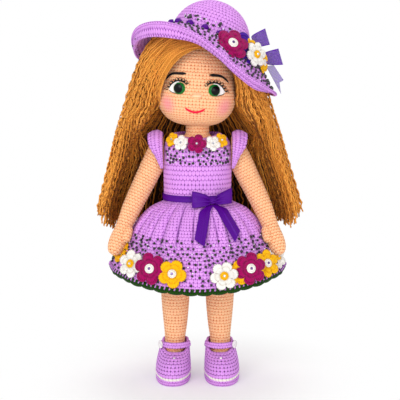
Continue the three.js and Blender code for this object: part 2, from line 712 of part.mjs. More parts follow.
// Satin sash, bow and tails
const sashPoint = (u, v) => {
  const p = bodicePoint(u, (SASH_HEIGHT * v + FABRIC / 2 + SEAM_GAP) / (bodiceTop - WAIST_Z));
  const out = (FABRIC + RIBBON) / 2 + SEAM_GAP;
  const flat = vec(p.x, p.y, 0);
  return p.addScaledVector(flat.normalize(), out * 1.3);
};
piece("sash", sheet(sashPoint, { across: 24, along: 1, wall: RIBBON, loop: true }), VIOLET);
const sashFront = (x) => {
  const half = BODICE_HALF_WIDTH + RIBBON * 2;
  return -(BODICE_HALF_DEPTH + RIBBON * 2) * sqrt(max(0, 1 - (x / half) ** 2));
};
const knot = vec(BOW_X, sashFront(BOW_X) - BOW_KNOT_RADIUS * 0.75, WAIST_Z + SASH_HEIGHT * 0.62);
function knotShape(grow) {
  return new THREE.SphereGeometry(1, 14, 8)
    .scale(BOW_KNOT_RADIUS + grow, BOW_KNOT_RADIUS * 0.62 + grow, BOW_KNOT_RADIUS * 1.05 + grow)
    .translate(...knot.toArray());
}
function bowLoop(side) {
  const turn = radians(side > 0 ? 24 : -8);
  return sheet(
    (u, v) => {
      const a = u * TURN;
      const out = (BOW_LOOP_LENGTH / 2) * (1 - cos(a));
      const depth = BOW_LOOP_LENGTH * 0.2 * sin(a) * (0.35 + (0.65 * out) / BOW_LOOP_LENGTH);
      const height = mix(BOW_LOOP_HEIGHT * 0.4, BOW_LOOP_HEIGHT, sqrt(out / BOW_LOOP_LENGTH));
      return knot.clone().add(
        vec(
          side * (out * cos(turn) + BOW_KNOT_RADIUS / 4),
          out * sin(turn) + depth - RIBBON * 2,
          (v - 0.5) * height + out * 0.08,
        ),
      );
    },
    { across: 14, along: 1, wall: RIBBON, loop: true },
  );
}
piece("waist_bow_knot", knotShape(0), VIOLET);
for (const [name, side] of SIDES)
  piece(`waist_bow_loop_${name}`, cut(bowLoop(side), knotShape(SEAM_GAP)), VIOLET);
const TAIL_SPREAD_SHARES = { right: -0.17, left: 0.44 };
for (const [name] of SIDES)
  piece(
    `waist_bow_tail_${name}`,
    sheet(
      (u, v) => {
        const drop = TAIL_LENGTH * v;
        const x = knot.x + TAIL_SPREAD_SHARES[name] * drop + (name === "left" ? TAILS_APART : -TAILS_APART);
        const width = mix(TAIL_WIDTH * 0.55, TAIL_WIDTH, min(1, v * 2));
        const z = knot.z - BOW_KNOT_RADIUS * 1.05 - SEAM_GAP - drop - (v * (u - 0.5) * TAIL_WIDTH) / 2;
        const share = min(1, max(0, (WAIST_Z - z) / SKIRT_LENGTH));
        const half = HEM_HALF_WIDTH * read(SKIRT_SHARES, share) + FOLD_DEPTH + FABRIC;
        const across = x + (u - 0.5) * width;
        const depth = half * mix(waistRatio, hemRatio, min(1, share * 1.4));
        const lie = -depth * sqrt(max(0, 1 - (across / half) ** 2)) - RIBBON - SEAM_GAP * 2;
        return vec(across, min(lie, sashFront(x) - RIBBON * 2), z);
      },
      { across: 2, along: 6, wall: RIBBON },
    ),
    VIOLET,
  );

// Flowers: petals on a disc with a raised eye and a sewn stem behind, +Z out of the flower
const PETAL_NOTCH_SHARE = 0.34;
const STEM_SHARE = 0.28;
function flowerShape(radius, petals, grow = 0) {
  const count = petals * (radius > NECK_FLOWER_RADIUS * 1.2 ? 4 : 3);
  const ring = (scale, z, notch = PETAL_NOTCH_SHARE) =>
    Array.from({ length: count }, (_, i) => {
      const a = (i / count) * TURN;
      const petal = abs(cos((petals * a) / 2)) ** 0.7;
      const r = radius * scale * (1 - notch * (1 - petal)) + grow;
      return vec(r * cos(a), r * sin(a), z);
    });
  const top = FLOWER_THICKNESS + grow;
  const disc = grow
    ? skin([ring(1, -grow), ring(1, top)])
    : skin([ring(1, 0), ring(0.96, top * 0.75), ring(0.26, top * 1.15, 0)]);
  const stem = radius * STEM_SHARE + grow;
  return join(disc, rod(vec(0, 0, -STEM_LENGTH), vec(0, 0, FLOWER_THICKNESS / 2), stem, 6));
}

/** A cluster: higher flowers lie over lower ones, and all of them seat on what carries them. */
function cluster(prefix, flowers, carrier, parent = doll) {
  const build = ({ radius, petals, at, outward, turn }, grow) => {
    const way = outward.clone().normalize();
    const face = new THREE.Quaternion().setFromUnitVectors(vec(0, 0, 1), way);
    const geometry = shapeOf(flowerShape(radius, petals, grow)).rotateZ(turn);
    return solid(geometry.applyQuaternion(face).translate(...at.toArray()));
  };
  for (const flower of flowers) {
    const over = flowers.filter((other) => other.layer > flower.layer);
    const seats = over.map((other) => build(other, SEAM_GAP));
    const shape = seats.reduce((made, seat) => made.subtract(seat), build(flower, 0));
    const [whole] = shape.subtract(carrier).decompose().sort((a, b) => b.volume() - a.volume());
    piece(`${prefix}_${flower.name}`, whole, flower.material, parent);
  }
}

// Flowers along the neckline: name, place round the neckline, layer, size share, material
const NECK_FLOWER_SHARE = 0.88;
const NECK_FLOWERS = [
  ["yellow_right", -0.137, 0, 0.93, YELLOW],
  ["white_right", -0.078, 1, 0.97, IVORY],
  ["plum_centre", 0, 2, 1.12, PLUM],
  ["white_left", 0.078, 1, 0.97, IVORY],
  ["yellow_left", 0.137, 0, 0.93, YELLOW],
].map(([name, place, layer, size, material]) => {
  const at = bodicePoint(place, NECK_FLOWER_SHARE, FABRIC / 2);
  const outward = vec(at.x / 2, at.y, NECK_LENGTH);
  at.addScaledVector(outward.clone().normalize(), FABRIC + layer * FLOWER_STEP);
  const radius = NECK_FLOWER_RADIUS * size;
  return { name, at, outward, layer, radius, petals: 5, turn: 0, material };
});
cluster("neck_flower", NECK_FLOWERS, solid(bodiceSheet(FABRIC + 2 * SEAM_GAP)));

// Flowers round the hem: name, place round the skirt, place down it, layer, size, petals, material
const HEM_FLOWERS = [
  ["yellow_outer_right", -0.232, 0.76, 0, 0.85, 5, YELLOW],
  ["white_right", -0.163, 0.83, 1, 1, 6, IVORY],
  ["plum_right", -0.108, 0.845, 2, 1.1, 6, PLUM],
  ["yellow_right", -0.052, 0.86, 1, 1, 5, YELLOW],
  ["white_left", 0.052, 0.87, 1, 0.98, 6, IVORY],
  ["yellow_inner_left", 0.083, 0.86, 0, 0.9, 5, YELLOW],
  ["plum_left", 0.113, 0.83, 2, 1.1, 6, PLUM],
  ["yellow_left", 0.163, 0.82, 1, 1, 6, YELLOW],
  ["white_outer_left", 0.235, 0.8, 0, 0.9, 6, IVORY],
].map(([name, place, share, layer, size, petals, material]) => {
  const at = skirtPoint(place, share);
  const down = skirtPoint(place, share + 0.05).sub(skirtPoint(place, share - 0.05));
  const round = skirtPoint(place + 0.02, share).sub(skirtPoint(place - 0.02, share));
  const outward = down.cross(round).normalize();
  at.addScaledVector(outward, FABRIC / 2 + FOLD_DEPTH + layer * FLOWER_STEP);
  const radius = HEM_FLOWER_RADIUS * size;
  return { name, at, outward, layer, radius, petals, turn: place * TURN, material };
});
cluster("hem_flower", HEM_FLOWERS, solid(skirtSheet(FABRIC + 2 * SEAM_GAP)));

// Hat: crown and brim in the hat's own frame, tilted on the head
const hat = new THREE.Group();
hat.position.set(HAT_RIGHT, HAT_BACK, TOP_Z - HAT_BELOW_TOP);
hat.rotation.set(-radians(HAT_PITCH_DEG), radians(HAT_ROLL_DEG), 0, "YXZ");
hat.updateMatrix();
doll.add(hat);

// The brim's wave: degrees round, then the bend's reach and drop, and the turned-up edge's reach and drop
const BRIM_SHARES = [
  [-180, 0.66, 0.89, 0.77, 0.75], [-160, 0.69, 0.81, 0.84, 0.57], [-140, 0.7, 0.73, 0.88, 0.44],
  [-120, 0.7, 0.66, 0.92, 0.39], [-100, 0.69, 0.6, 0.92, 0.47], [-80, 0.71, 0.72, 0.92, 0.65],
  [-60, 0.78, 0.92, 0.97, 0.84], [-40, 0.83, 0.98, 1.01, 0.86], [-20, 0.85, 0.82, 1.02, 0.79],
  [0, 0.85, 0.62, 1.01, 0.69], [30, 0.83, 0.5, 0.99, 0.5], [60, 0.78, 0.52, 0.94, 0.33],
  [90, 0.73, 0.56, 0.9, 0.38], [120, 0.69, 0.78, 0.83, 0.61], [150, 0.66, 1, 0.7, 0.92],
];
const FULL_TURN_DEG = 360;
const roundBrim = [-FULL_TURN_DEG, 0, FULL_TURN_DEG].flatMap((shift) =>
  BRIM_SHARES.map(([degrees, ...rest]) => [degrees + shift, ...rest]),
);
const BEND_SHARE = 0.75;
function brimPoint(u, v) {
  const a = u * TURN - PI;
  const [bendOut, bendDown, edgeOut, edgeDown] = [1, 2, 3, 4].map((column) =>
    read(roundBrim, THREE.MathUtils.radToDeg(a), column),
  );
  const fall = min(1, v / BEND_SHARE);
  const turn = max(0, (v - BEND_SHARE) / (1 - BEND_SHARE));
  const reach = HAT_CROWN_RADIUS + BRIM_REACH * mix(bendOut * fall, edgeOut, turn);
  const drop = BRIM_DROOP * mix(bendDown * fall ** 1.3, edgeDown, turn);
  return vec(reach * cos(a), reach * sin(a), -drop);
}

/** Rings of the hat, over its crown and brim and back under them, or of the room above or below it. */
const HAT_SIDES = 30;
function hatRings(above = 0, below = 0) {
  const count = HAT_SIDES;
  const CROWN_SHARES = [0.12, 0.34, 0.56, 0.78, 1];
  const BRIM_RING_SHARES = [0.2, 0.48, BEND_SHARE, 1];
  const crown = (radius, share) => {
    const a = (share * PI) / 2;
    return Array.from({ length: count }, (_, i) => {
      const turn = (i / count) * TURN - PI;
      return vec(radius * sin(a) * cos(turn), radius * sin(a) * sin(turn), radius * cos(a));
    });
  };
  const brim = (v, lift) =>
    Array.from({ length: count }, (_, i) => brimPoint(i / count, v).add(vec(0, 0, lift)));
  const wall = HAT_FABRIC / 2;
  const innerRadius = HAT_CROWN_RADIUS - HAT_FABRIC - above;
  const under = [
    ...BRIM_RING_SHARES.toReversed().map((v) => brim(v, -wall - above)),
    ...CROWN_SHARES.toReversed().map((share) => crown(innerRadius, share)),
  ];
  const over = [
    ...CROWN_SHARES.map((share) => crown(HAT_CROWN_RADIUS + below, share)),
    ...BRIM_RING_SHARES.map((v) => brim(v, wall + below)),
  ];
  if (above) return [brim(1, OVERRUN), ...under];
  return below ? [...over, brim(1, -OVERRUN)] : [...over, ...under];
}
piece("hat", skin(hatRings()), LILAC, hat);
const bandPoint = (u, v) => {
  const z = HAT_FABRIC / 2 + SEAM_GAP + HAT_BAND_HEIGHT * v;
  const radius = HAT_CROWN_RADIUS + RIBBON + SEAM_GAP;
  const a = u * TURN;
  const r = sqrt(radius * radius - z * z);
  return vec(r * cos(a), r * sin(a), z);
};
piece("hat_band", sheet(bandPoint, { across: HAT_SIDES, along: 1, wall: RIBBON, loop: true }), VIOLET, hat);

// Hat flowers: name, degrees round, reach and height in crown radii, facing degrees and rise, size share,
// petals, layer, material
const HAT_FLOWERS = [
  ["violet", -47, 1.28, -0.12, -70, 0.35, 0.94, 5, 0, VIOLET],
  ["yellow_inner", -43, 1.28, 0.04, -64, 0.3, 0.5, 5, 1, YELLOW],
  ["yellow_outer", -14, 1.5, -0.1, -30, 0.3, 0.66, 5, 1, YELLOW],
  ["white", -36, 1.42, -0.1, -57, 0.22, 0.75, 6, 2, IVORY],
  ["plum", -68, 1.36, -0.13, -84, 0.45, 1.1, 6, 3, PLUM],
].map(([name, degrees, reach, height, facing, rise, size, petals, layer, material]) => {
  const [a, b] = [radians(degrees), radians(facing)];
  const at = vec(reach * cos(a), reach * sin(a), height).multiplyScalar(HAT_CROWN_RADIUS);
  const outward = vec(cos(b), sin(b), rise);
  return { name, at, outward, layer, radius: HAT_FLOWER_RADIUS * size, petals, turn: b, material };
});
const hatSolid = solid(skin(hatRings(0, SEAM_GAP)));
cluster("hat_flower", HAT_FLOWERS, hatSolid, hat);

// The hat's bow: a gathered knot sewn to the crown behind the flowers, two loops and a tail
const KNOT_SHARES = [[1.07, 0.03, 0.34], [1.49, 0.03, 0.02]];
const knotEnds = KNOT_SHARES.map((share) => vec(...share).multiplyScalar(HAT_CROWN_RADIUS));
const alongKnot = knotEnds[1].clone().sub(knotEnds[0]);
function knotShell(grow) {
  const stations = [[0, 0.4], [0.12, 0.9], [0.5, 1], [0.88, 0.9], [1, 0.4]];
  return tube(
    stations.map(([share, thick]) => {
      const centre = knotEnds[0].clone().addScaledVector(alongKnot, share);
      return [centre, HAT_KNOT_RADIUS * thick + grow, HAT_KNOT_RADIUS * thick + grow];
    }),
    8,
  );
}
const inSidePlane = (degrees) => vec(cos(radians(degrees)), 0, sin(radians(degrees)));
// Loops: place along the knot, degrees of the loop's reach and of the ribbon's width
const HAT_LOOPS = [[0.08, 20, -50], [0.92, 32, -51]];
function hatLoop([place, reach, width], wall) {
  const loopPoint = (u, v) => {
    const a = u * TURN;
    const narrow = mix(0.55, 1, sin(min(a, TURN - a) / 2));
    return knotEnds[0]
      .clone()
      .addScaledVector(alongKnot, place)
      .addScaledVector(inSidePlane(reach), (HAT_LOOP_LENGTH * (1 - cos(a))) / 2)
      .addScaledVector(inSidePlane(width), HAT_LOOP_WIDTH * (v - 0.5) * narrow)
      .add(vec(0, (HAT_LOOP_DEPTH * sin(a)) / 2, 0));
  };
  return solid(sheet(loopPoint, { across: 12, along: 1, wall, loop: true }));
}
const bowSeat = rod(knotEnds[0], knotEnds[0].clone().multiplyScalar(0.85), HAT_KNOT_RADIUS / 2, 8);
const hatBow = (grow) => {
  const loops = HAT_LOOPS.map((row) => hatLoop(row, RIBBON + 2 * grow));
  return loops.reduce((made, loop) => made.add(loop), join(knotShell(grow), bowSeat));
};
piece("hat_bow", hatBow(0).subtract(hatSolid), ORGANZA, hat);
const HAT_TAIL_DEG = -34;
const QUARTER_TURN_DEG = 90;
const hatTail = sheet(
  (u, v) => {
    const down = HAT_TAIL_LENGTH * (v - v * abs(u - 0.5) * 0.3);
    const across = HAT_TAIL_WIDTH * (u - 0.5) * mix(0.6, 1, v);
    return knotEnds[1]
      .clone()
      .addScaledVector(inSidePlane(HAT_TAIL_DEG), down)
      .addScaledVector(inSidePlane(HAT_TAIL_DEG + QUARTER_TURN_DEG), across)
      .add(vec(0, HAT_LOOP_DEPTH * v * v * 0.4, 0));
  },
  { across: 2, along: 4, wall: RIBBON },
);
const [tailPiece] = solid(hatTail)
  .subtract(hatBow(SEAM_GAP))
  .decompose()
  .sort((a, b) => b.volume() - a.volume());
piece("hat_bow_tail", tailPiece, ORGANZA, hat);

// Hair: a cap over the skull, and a fall that spreads behind the shoulders
const capShape = new THREE.SphereGeometry(1, 16, 10)
  .rotateX(PI / 2)
  .scale(CROWN_HALF_WIDTH, CROWN_HALF_DEPTH, CROWN_HEIGHT)
  .translate(0, 0, TOP_Z + HAIR_RISE - CROWN_HEIGHT);

// The parting and the locks beside the face, in half widths across and heights up the head
const PARTING_SHARES = [
  [-0.99, 0.27], [-0.905, 0.47], [-0.73, 0.61], [-0.465, 0.716], [-0.2, 0.765], [0.065, 0.794],
  [0.4, 0.75], [0.66, 0.68], [0.83, 0.61], [0.95, 0.49], [1, 0.35],
];
function faceWindow() {
  const outline = new THREE.Shape();
  outline.moveTo(PARTING_SHARES[0][0] * HEAD_HALF_WIDTH, CHIN_Z - HEAD_HEIGHT);
  for (const [across, up] of PARTING_SHARES)
    outline.lineTo(across * HEAD_HALF_WIDTH, CHIN_Z + up * HEAD_HEIGHT);
  outline.lineTo(PARTING_SHARES.at(-1)[0] * HEAD_HALF_WIDTH, CHIN_Z - HEAD_HEIGHT);
  return new THREE.ExtrudeGeometry(outline, { depth: OVERRUN, bevelEnabled: false }).rotateX(PI / 2);
}

// The fall, from the crown down: half width, front, back and thickness as shares of the widest half
const FALL_SHARES = [
  [0, 0.38, -0.2, 0.3, 0.3], [0.03, 0.46, -0.25, 0.38, 0.3], [0.066, 0.52, -0.27, 0.43, 0.31],
  [0.112, 0.58, -0.27, 0.46, 0.32], [0.158, 0.625, -0.25, 0.48, 0.33], [0.224, 0.66, -0.22, 0.49, 0.32],
  [0.347, 0.703, -0.18, 0.48, 0.27], [0.429, 0.745, -0.14, 0.46, 0.21], [0.5, 0.787, -0.1, 0.43, 0.15],
  [0.587, 0.833, -0.08, 0.43, 0.125], [0.668, 0.88, -0.08, 0.47, 0.115], [0.755, 0.93, -0.08, 0.53, 0.11],
  [0.821, 0.968, -0.08, 0.575, 0.11], [0.872, 1, -0.07, 0.61, 0.11], [0.918, 0.975, -0.05, 0.635, 0.115],
  [0.964, 0.9, -0.01, 0.65, 0.12], [1, 0.82, 0.04, 0.645, 0.115],
];
const FALL_COUNT = 14;
function fallRing([share, ...rest]) {
  const z = TOP_Z - HAIR_BELOW_TOP - HAIR_LENGTH * share;
  const [half, near, far, thickness] = rest.map((value) => HAIR_HALF_WIDTH * value);
  const middle = near + (far - near) / 4;
  const arc = (inset, k) =>
    vec((half - inset) * cos(PI * k), middle + (far - middle - inset) * sin(PI * k), z);
  const steps = Array.from({ length: FALL_COUNT + 1 }, (_, i) => i / FALL_COUNT);
  const tip = (k) => [half - (thickness * (1 - cos(PI * k))) / 2, mix(middle, near, sin(PI * k))];
  const TIP_SHARES = [0.25, 0.5, 0.75];
  return [
    ...steps.map((k) => arc(0, k)),
    ...TIP_SHARES.map((k) => vec(-tip(k)[0], tip(k)[1], z)),
    ...steps.map((k) => arc(thickness, 1 - k)),
    ...TIP_SHARES.map((k) => vec(tip(1 - k)[0], tip(k)[1], z)),
  ];
}
function fallGeometry() {
  const rings = FALL_SHARES.map(fallRing);
  const n = rings[0].length;
  const top = (rings.length - 1) * n;
  const faces = [];
  const ends = (a, b, c) => faces.push([a, c, b], [top + a, top + b, top + c]);
  const last = n - 4;
  for (let i = 0; i < FALL_COUNT; i++) {
    ends(i, i + 1, last - i);
    ends(i + 1, last - 1 - i, last - i);
  }
  for (const [a, b] of [[FALL_COUNT, FALL_COUNT + 4], [last, n]])
    for (let i = a; i < (b === n ? n - 1 : b - 1); i++)
      ends(b % n, i, i + 1);
  for (let r = 0; r < rings.length - 1; r++)
    for (let i = 0; i < n; i++) {
      const j = (i + 1) % n;
      const [a, b, c, d] = [r * n + i, r * n + j, (r + 1) * n + j, (r + 1) * n + i];
      faces.push([a, b, c], [a, c, d]);
    }
  return closedGeometry(rings.flat(), faces);
}
const slab = (low, high) =>
  block(vec(-2 * HAIR_HALF_WIDTH, -OVERRUN, low), vec(2 * HAIR_HALF_WIDTH, OVERRUN, high));
const split = CHIN_Z + CROWN_ABOVE_CHIN;
const headRoom = tilted(skin(headRings(SEAM_GAP, HEAD_SIDES)));
const underHat = skin(hatRings(HAT_CLEARANCE)).applyMatrix4(hat.matrix);
const ROOM_SIDES = 24;
const skirtRoom = skin(
  [0, 0.25, 0.5, 1].map((v) =>
    Array.from({ length: ROOM_SIDES }, (_, i) => skirtPoint(i / ROOM_SIDES, v, 2 * FOLD_DEPTH + FABRIC)),
  ),
);
const belowSplit = slab(0, split - LOCK_GAP * 2);
const hair = cut(capShape, belowSplit)
  .add(solid(fallGeometry()))
  .subtract(solid(headRoom))
  .subtract(solid(underHat))
  .subtract(solid(faceWindow()))
  .subtract(solid(skirtRoom));
const top = TOP_Z + HAIR_RISE + HAT_CROWN_RADIUS;
const below = solid(slab(0, split - LOCK_GAP));
const behind = (grow) =>
  block(vec(-BACK_HALF_WIDTH - grow, -grow, 0), vec(BACK_HALF_WIDTH + grow, OVERRUN, top));
const inner = solid(behind(0));
const outer = solid(behind(LOCK_GAP));
const rightHalf = solid(block(vec(-2 * HAIR_HALF_WIDTH, -OVERRUN, 0), vec(0, OVERRUN, top)));
const fall = hair.intersect(below);
piece("hair_crown", hair.intersect(solid(slab(split, top))), HAIR);
piece("hair_back", fall.intersect(inner), HAIR);
piece("hair_right", fall.subtract(outer).intersect(rightHalf), HAIR);
piece("hair_left", fall.subtract(outer).subtract(rightHalf), HAIR);

export default doll;
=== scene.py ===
"""A crocheted doll in a lilac dress and sun hat, dressed over its CAD frame."""

import logging
import math
from dataclasses import dataclass
from enum import Enum
from typing import Callable, Optional, Sequence

import bmesh
import bpy
import numpy as np
from mathutils import Matrix, Vector


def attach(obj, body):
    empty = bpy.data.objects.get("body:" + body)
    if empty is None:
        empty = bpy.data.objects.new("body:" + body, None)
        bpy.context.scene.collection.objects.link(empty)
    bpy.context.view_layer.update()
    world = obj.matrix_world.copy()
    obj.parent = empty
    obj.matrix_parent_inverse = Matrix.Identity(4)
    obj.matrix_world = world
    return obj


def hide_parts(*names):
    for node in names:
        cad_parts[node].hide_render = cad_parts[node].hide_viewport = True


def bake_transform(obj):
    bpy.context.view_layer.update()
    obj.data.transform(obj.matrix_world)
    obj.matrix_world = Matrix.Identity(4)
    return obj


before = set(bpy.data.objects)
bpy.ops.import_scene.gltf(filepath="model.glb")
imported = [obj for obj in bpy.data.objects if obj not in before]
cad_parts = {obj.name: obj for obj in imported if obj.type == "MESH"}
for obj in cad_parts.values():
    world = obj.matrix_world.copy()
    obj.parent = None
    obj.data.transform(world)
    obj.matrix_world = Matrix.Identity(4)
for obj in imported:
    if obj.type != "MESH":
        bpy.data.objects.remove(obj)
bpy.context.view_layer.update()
log = logging.getLogger("doll")

MM = 0.001
TURN = 2 * math.pi
MERGE = 2e-6
SEAM = 0.3
FABRIC = 2.2
RIBBON = 0.8
THIN_FABRIC = 1.76
ORGANZA_WALL = 0.25
NEARLY_UP = (0.31, 0.17, 0.935)
NEARLY_ACROSS = (0.9, -0.4, 0.1)
WITHIN_THREAD = 0.98
AT_END = 1e-6
Array = np.ndarray
Object = bpy.types.Object
Socket = bpy.types.NodeSocket
Tree = bpy.types.NodeTree
Rows = Sequence[Sequence[float]]
Surface = Callable[[Array, Array], Array]
Colour = tuple[float, float, float, float]


class Side(Enum):
    """The doll's own sides: its right is at the viewer's left."""

    RIGHT = -1
    LEFT = 1

    @property
    def label(self) -> str:
        """Name of the side, as the CAD nodes have it."""
        return self.name.lower()


# ---------------------------------------------------------------- shapes in numbers


def read(rows: Rows, share: Array, column: int = 1) -> Array:
    """Read a table of (share, value, ...) rows, smoothed between its rows.

    Args:
        rows: The table, in rising order of share.
        share: Where to read it.
        column: Which value of a row to read.

    Returns:
        The value at each share.
    """
    table = np.asarray(rows, float)
    x, y = table[:, 0], table[:, column]
    slope = np.gradient(y, x)
    slope[1:-1] = (y[2:] - y[:-2]) / (x[2:] - x[:-2])
    s = np.clip(share, x[0], x[-1])
    k = np.clip(np.searchsorted(x, s, side="right") - 1, 0, len(x) - 2)
    span = x[k + 1] - x[k]
    t = (s - x[k]) / span
    t2, t3 = t * t, t * t * t
    return (
        (2 * t3 - 3 * t2 + 1) * y[k]
        + (t3 - 2 * t2 + t) * slope[k] * span
        + (3 * t2 - 2 * t3) * y[k + 1]
        + (t3 - t2) * slope[k + 1] * span
    )


def mix(a: Array, b: Array, t: Array) -> Array:
    """Value between a and b at share t."""
    return a + (b - a) * t


def smoothstep(low: float, high: float, x: Array) -> Array:
    """Smooth step from 0 at low to 1 at high."""
    t = np.clip((x - low) / (high - low), 0, 1)
    return t * t * (3 - 2 * t)


def points(x: Array, y: Array, z: Array) -> Array:
    """Rows of x, y and z, each spread to the same length."""
    return np.stack(np.broadcast_arrays(x, y, z), axis=-1).astype(float)


def unit(v: Array) -> Array:
    """Vectors at length 1."""
    return v / np.maximum(np.linalg.norm(v, axis=-1, keepdims=True), 1e-12)


def run_along(path: Array) -> Array:
    """Length run along a path at each of its points."""
    return np.concatenate([[0], np.cumsum(np.linalg.norm(np.diff(path, axis=0), axis=1))])


def profile(path: Rows, v: Array) -> list[Array]:
    """Both numbers of a profile at even shares v of its length."""
    line = np.array(path, float)
    run = run_along(line)
    return [np.interp(v * run[-1], run, line[:, c]) for c in (0, 1)]


def spaced(spots: Array, near: float, chosen: Sequence[int]) -> Array:
    """Indices of the chosen spots that lie further than near from those kept before them."""
    kept: list[int] = []
    for k in chosen:
        if (((spots[kept] - spots[k]) ** 2).sum(axis=1) > near**2).all():
            kept.append(k)
    return np.array(kept)


def normals(surface: Surface, u: Array, v: Array, step: float = 1e-3) -> Array:
    """Normals of a surface at (u, v), at length 1."""
    du = surface(u + step, v) - surface(u - step, v)
    dv = surface(u, v + step) - surface(u, v - step)
    return unit(np.cross(du, dv))


def smooth_path(guide: Sequence[Sequence[float]], count: int) -> Array:
    """Run an even, smooth path through guide points.

    Args:
        guide: The points, in millimetres.
        count: How many points the path has.

    Returns:
        The path, one row for a point.
    """
    guide = np.asarray(guide, float)
    table = np.column_stack([run_along(guide), guide])
    dense = np.linspace(0, table[-1, 0], count * 4)
    way = np.stack([read(table, dense, c) for c in range(1, table.shape[1])], axis=-1)
    run = run_along(way)
    even = np.linspace(0, run[-1], count)
    return np.stack([np.interp(even, run, way[:, c]) for c in range(way.shape[1])], axis=-1)


@dataclass(frozen=True)
class View:
    """The photograph's camera, in millimetres, pixels and degrees."""

    at: tuple[float, float, float] = (2.6, -1125.0, 350.0)
    tilt: float = 82.0054
    lens: float = 97.2
    focal: float = 1080.0
    middle: float = 200.0

    def rays(self, across: Array, down: Array) -> Array:
        """Directions from the camera through pixels of the photograph."""
        a = math.radians(self.tilt)
        x = (np.asarray(across, float) - self.middle) / self.focal
        y = (self.middle - np.asarray(down, float)) / self.focal
        return points(x, y * math.cos(a) + math.sin(a), y * math.sin(a) - math.cos(a))

    def spot(self, across: float, down: float, depth: float) -> Array:
        """Point that a pixel shows on the upright plane y = depth."""
        ray = self.rays(across, down)
        return np.asarray(self.at) + ray * ((depth - self.at[1]) / ray[1])


VIEW = View()

# ---------------------------------------------------------------- meshes


@dataclass(frozen=True)
class Gauge:
    """The size of one stitch in millimetres, and how finely the mesh follows it."""

    width: float = 3.4
    height: float = 3.2
    relief: float = 0.42
    rib: float = 0.45
    lean: float = 0.5
    across: int = 4
    along: int = 4


PLAIN = Gauge(relief=0, across=1, along=1)
SKIN_GAUGE = Gauge(3.5, 3.3, 0.5, rib=0.55)


def object_of(name: str, mesh: bpy.types.Mesh) -> Object:
    """Place a mesh in the scene as a smooth-shaded piece."""
    mesh.polygons.foreach_set("use_smooth", np.ones(len(mesh.polygons), bool))
    made = bpy.data.objects.new(name, mesh)
    bpy.context.collection.objects.link(made)
    return made


def mesh_of(name: str, bm: bmesh.types.BMesh) -> bpy.types.Mesh:
    """Keep a working mesh as a mesh."""
    mesh = bpy.data.meshes.new(name)
    bm.to_mesh(mesh)
    bm.free()
    return mesh


def merge(mesh: bpy.types.Mesh, reach: float = MERGE) -> None:
    """Close the seams and poles of a mesh."""
    bm = bmesh.new()
    bm.from_mesh(mesh)
    bmesh.ops.remove_doubles(bm, verts=bm.verts, dist=reach)
    bm.to_mesh(mesh)
    bm.free()


def unit_grid(name: str, columns: int, rows: int) -> tuple[bpy.types.Mesh, Array, Array]:
    """Make a grid with a stitch map.

    Args:
        name: The mesh's name.
        columns: Faces across.
        rows: Faces up.

    Returns:
        The mesh, the (u, v) of its points and the (u, v) of each face's four corners.
    """
    bm = bmesh.new()
    bm.loops.layers.uv.new("stitches")
    bmesh.ops.create_grid(bm, x_segments=columns, y_segments=rows, size=1.0, calc_uvs=True)
    mesh = mesh_of(name, bm)
    uv = (get_points(mesh)[:, :2] + 1) / 2
    uv = np.round(uv * (columns, rows)) / (columns, rows)
    corner = np.empty(len(mesh.loops), np.int32)
    mesh.loops.foreach_get("vertex_index", corner)
    return mesh, uv, uv[corner].reshape(-1, 4, 2)


def get_points(mesh: bpy.types.Mesh) -> Array:
    """Read a mesh's points, in its own unit."""
    flat = np.empty(len(mesh.vertices) * 3)
    mesh.vertices.foreach_get("co", flat)
    return flat.reshape(-1, 3)


def set_points(mesh: bpy.types.Mesh, where: Array) -> None:
    """Move a mesh's points to places in millimetres."""
    mesh.vertices.foreach_set("co", (where * MM).astype(np.float32).ravel())
    mesh.update()


def get_map(mesh: bpy.types.Mesh) -> Array:
    """Read the stitch map of a mesh, corner by corner."""
    flat = np.empty(len(mesh.loops) * 2)
    mesh.uv_layers["stitches"].data.foreach_get("uv", flat)
    return flat.reshape(-1, 2)


def set_map(mesh: bpy.types.Mesh, corners: Array) -> None:
    """Write the stitch map of a mesh, corner by corner."""
    mesh.uv_layers["stitches"].data.foreach_set("uv", corners.astype(np.float32).ravel())


def thickened(piece: Object, wall: float, label: str) -> Object:
    """Give a surface a wall in millimetres, half to each side."""
    thick = piece.modifiers.new(label, "SOLIDIFY")
    thick.thickness, thick.offset = wall * MM, 0
    return piece


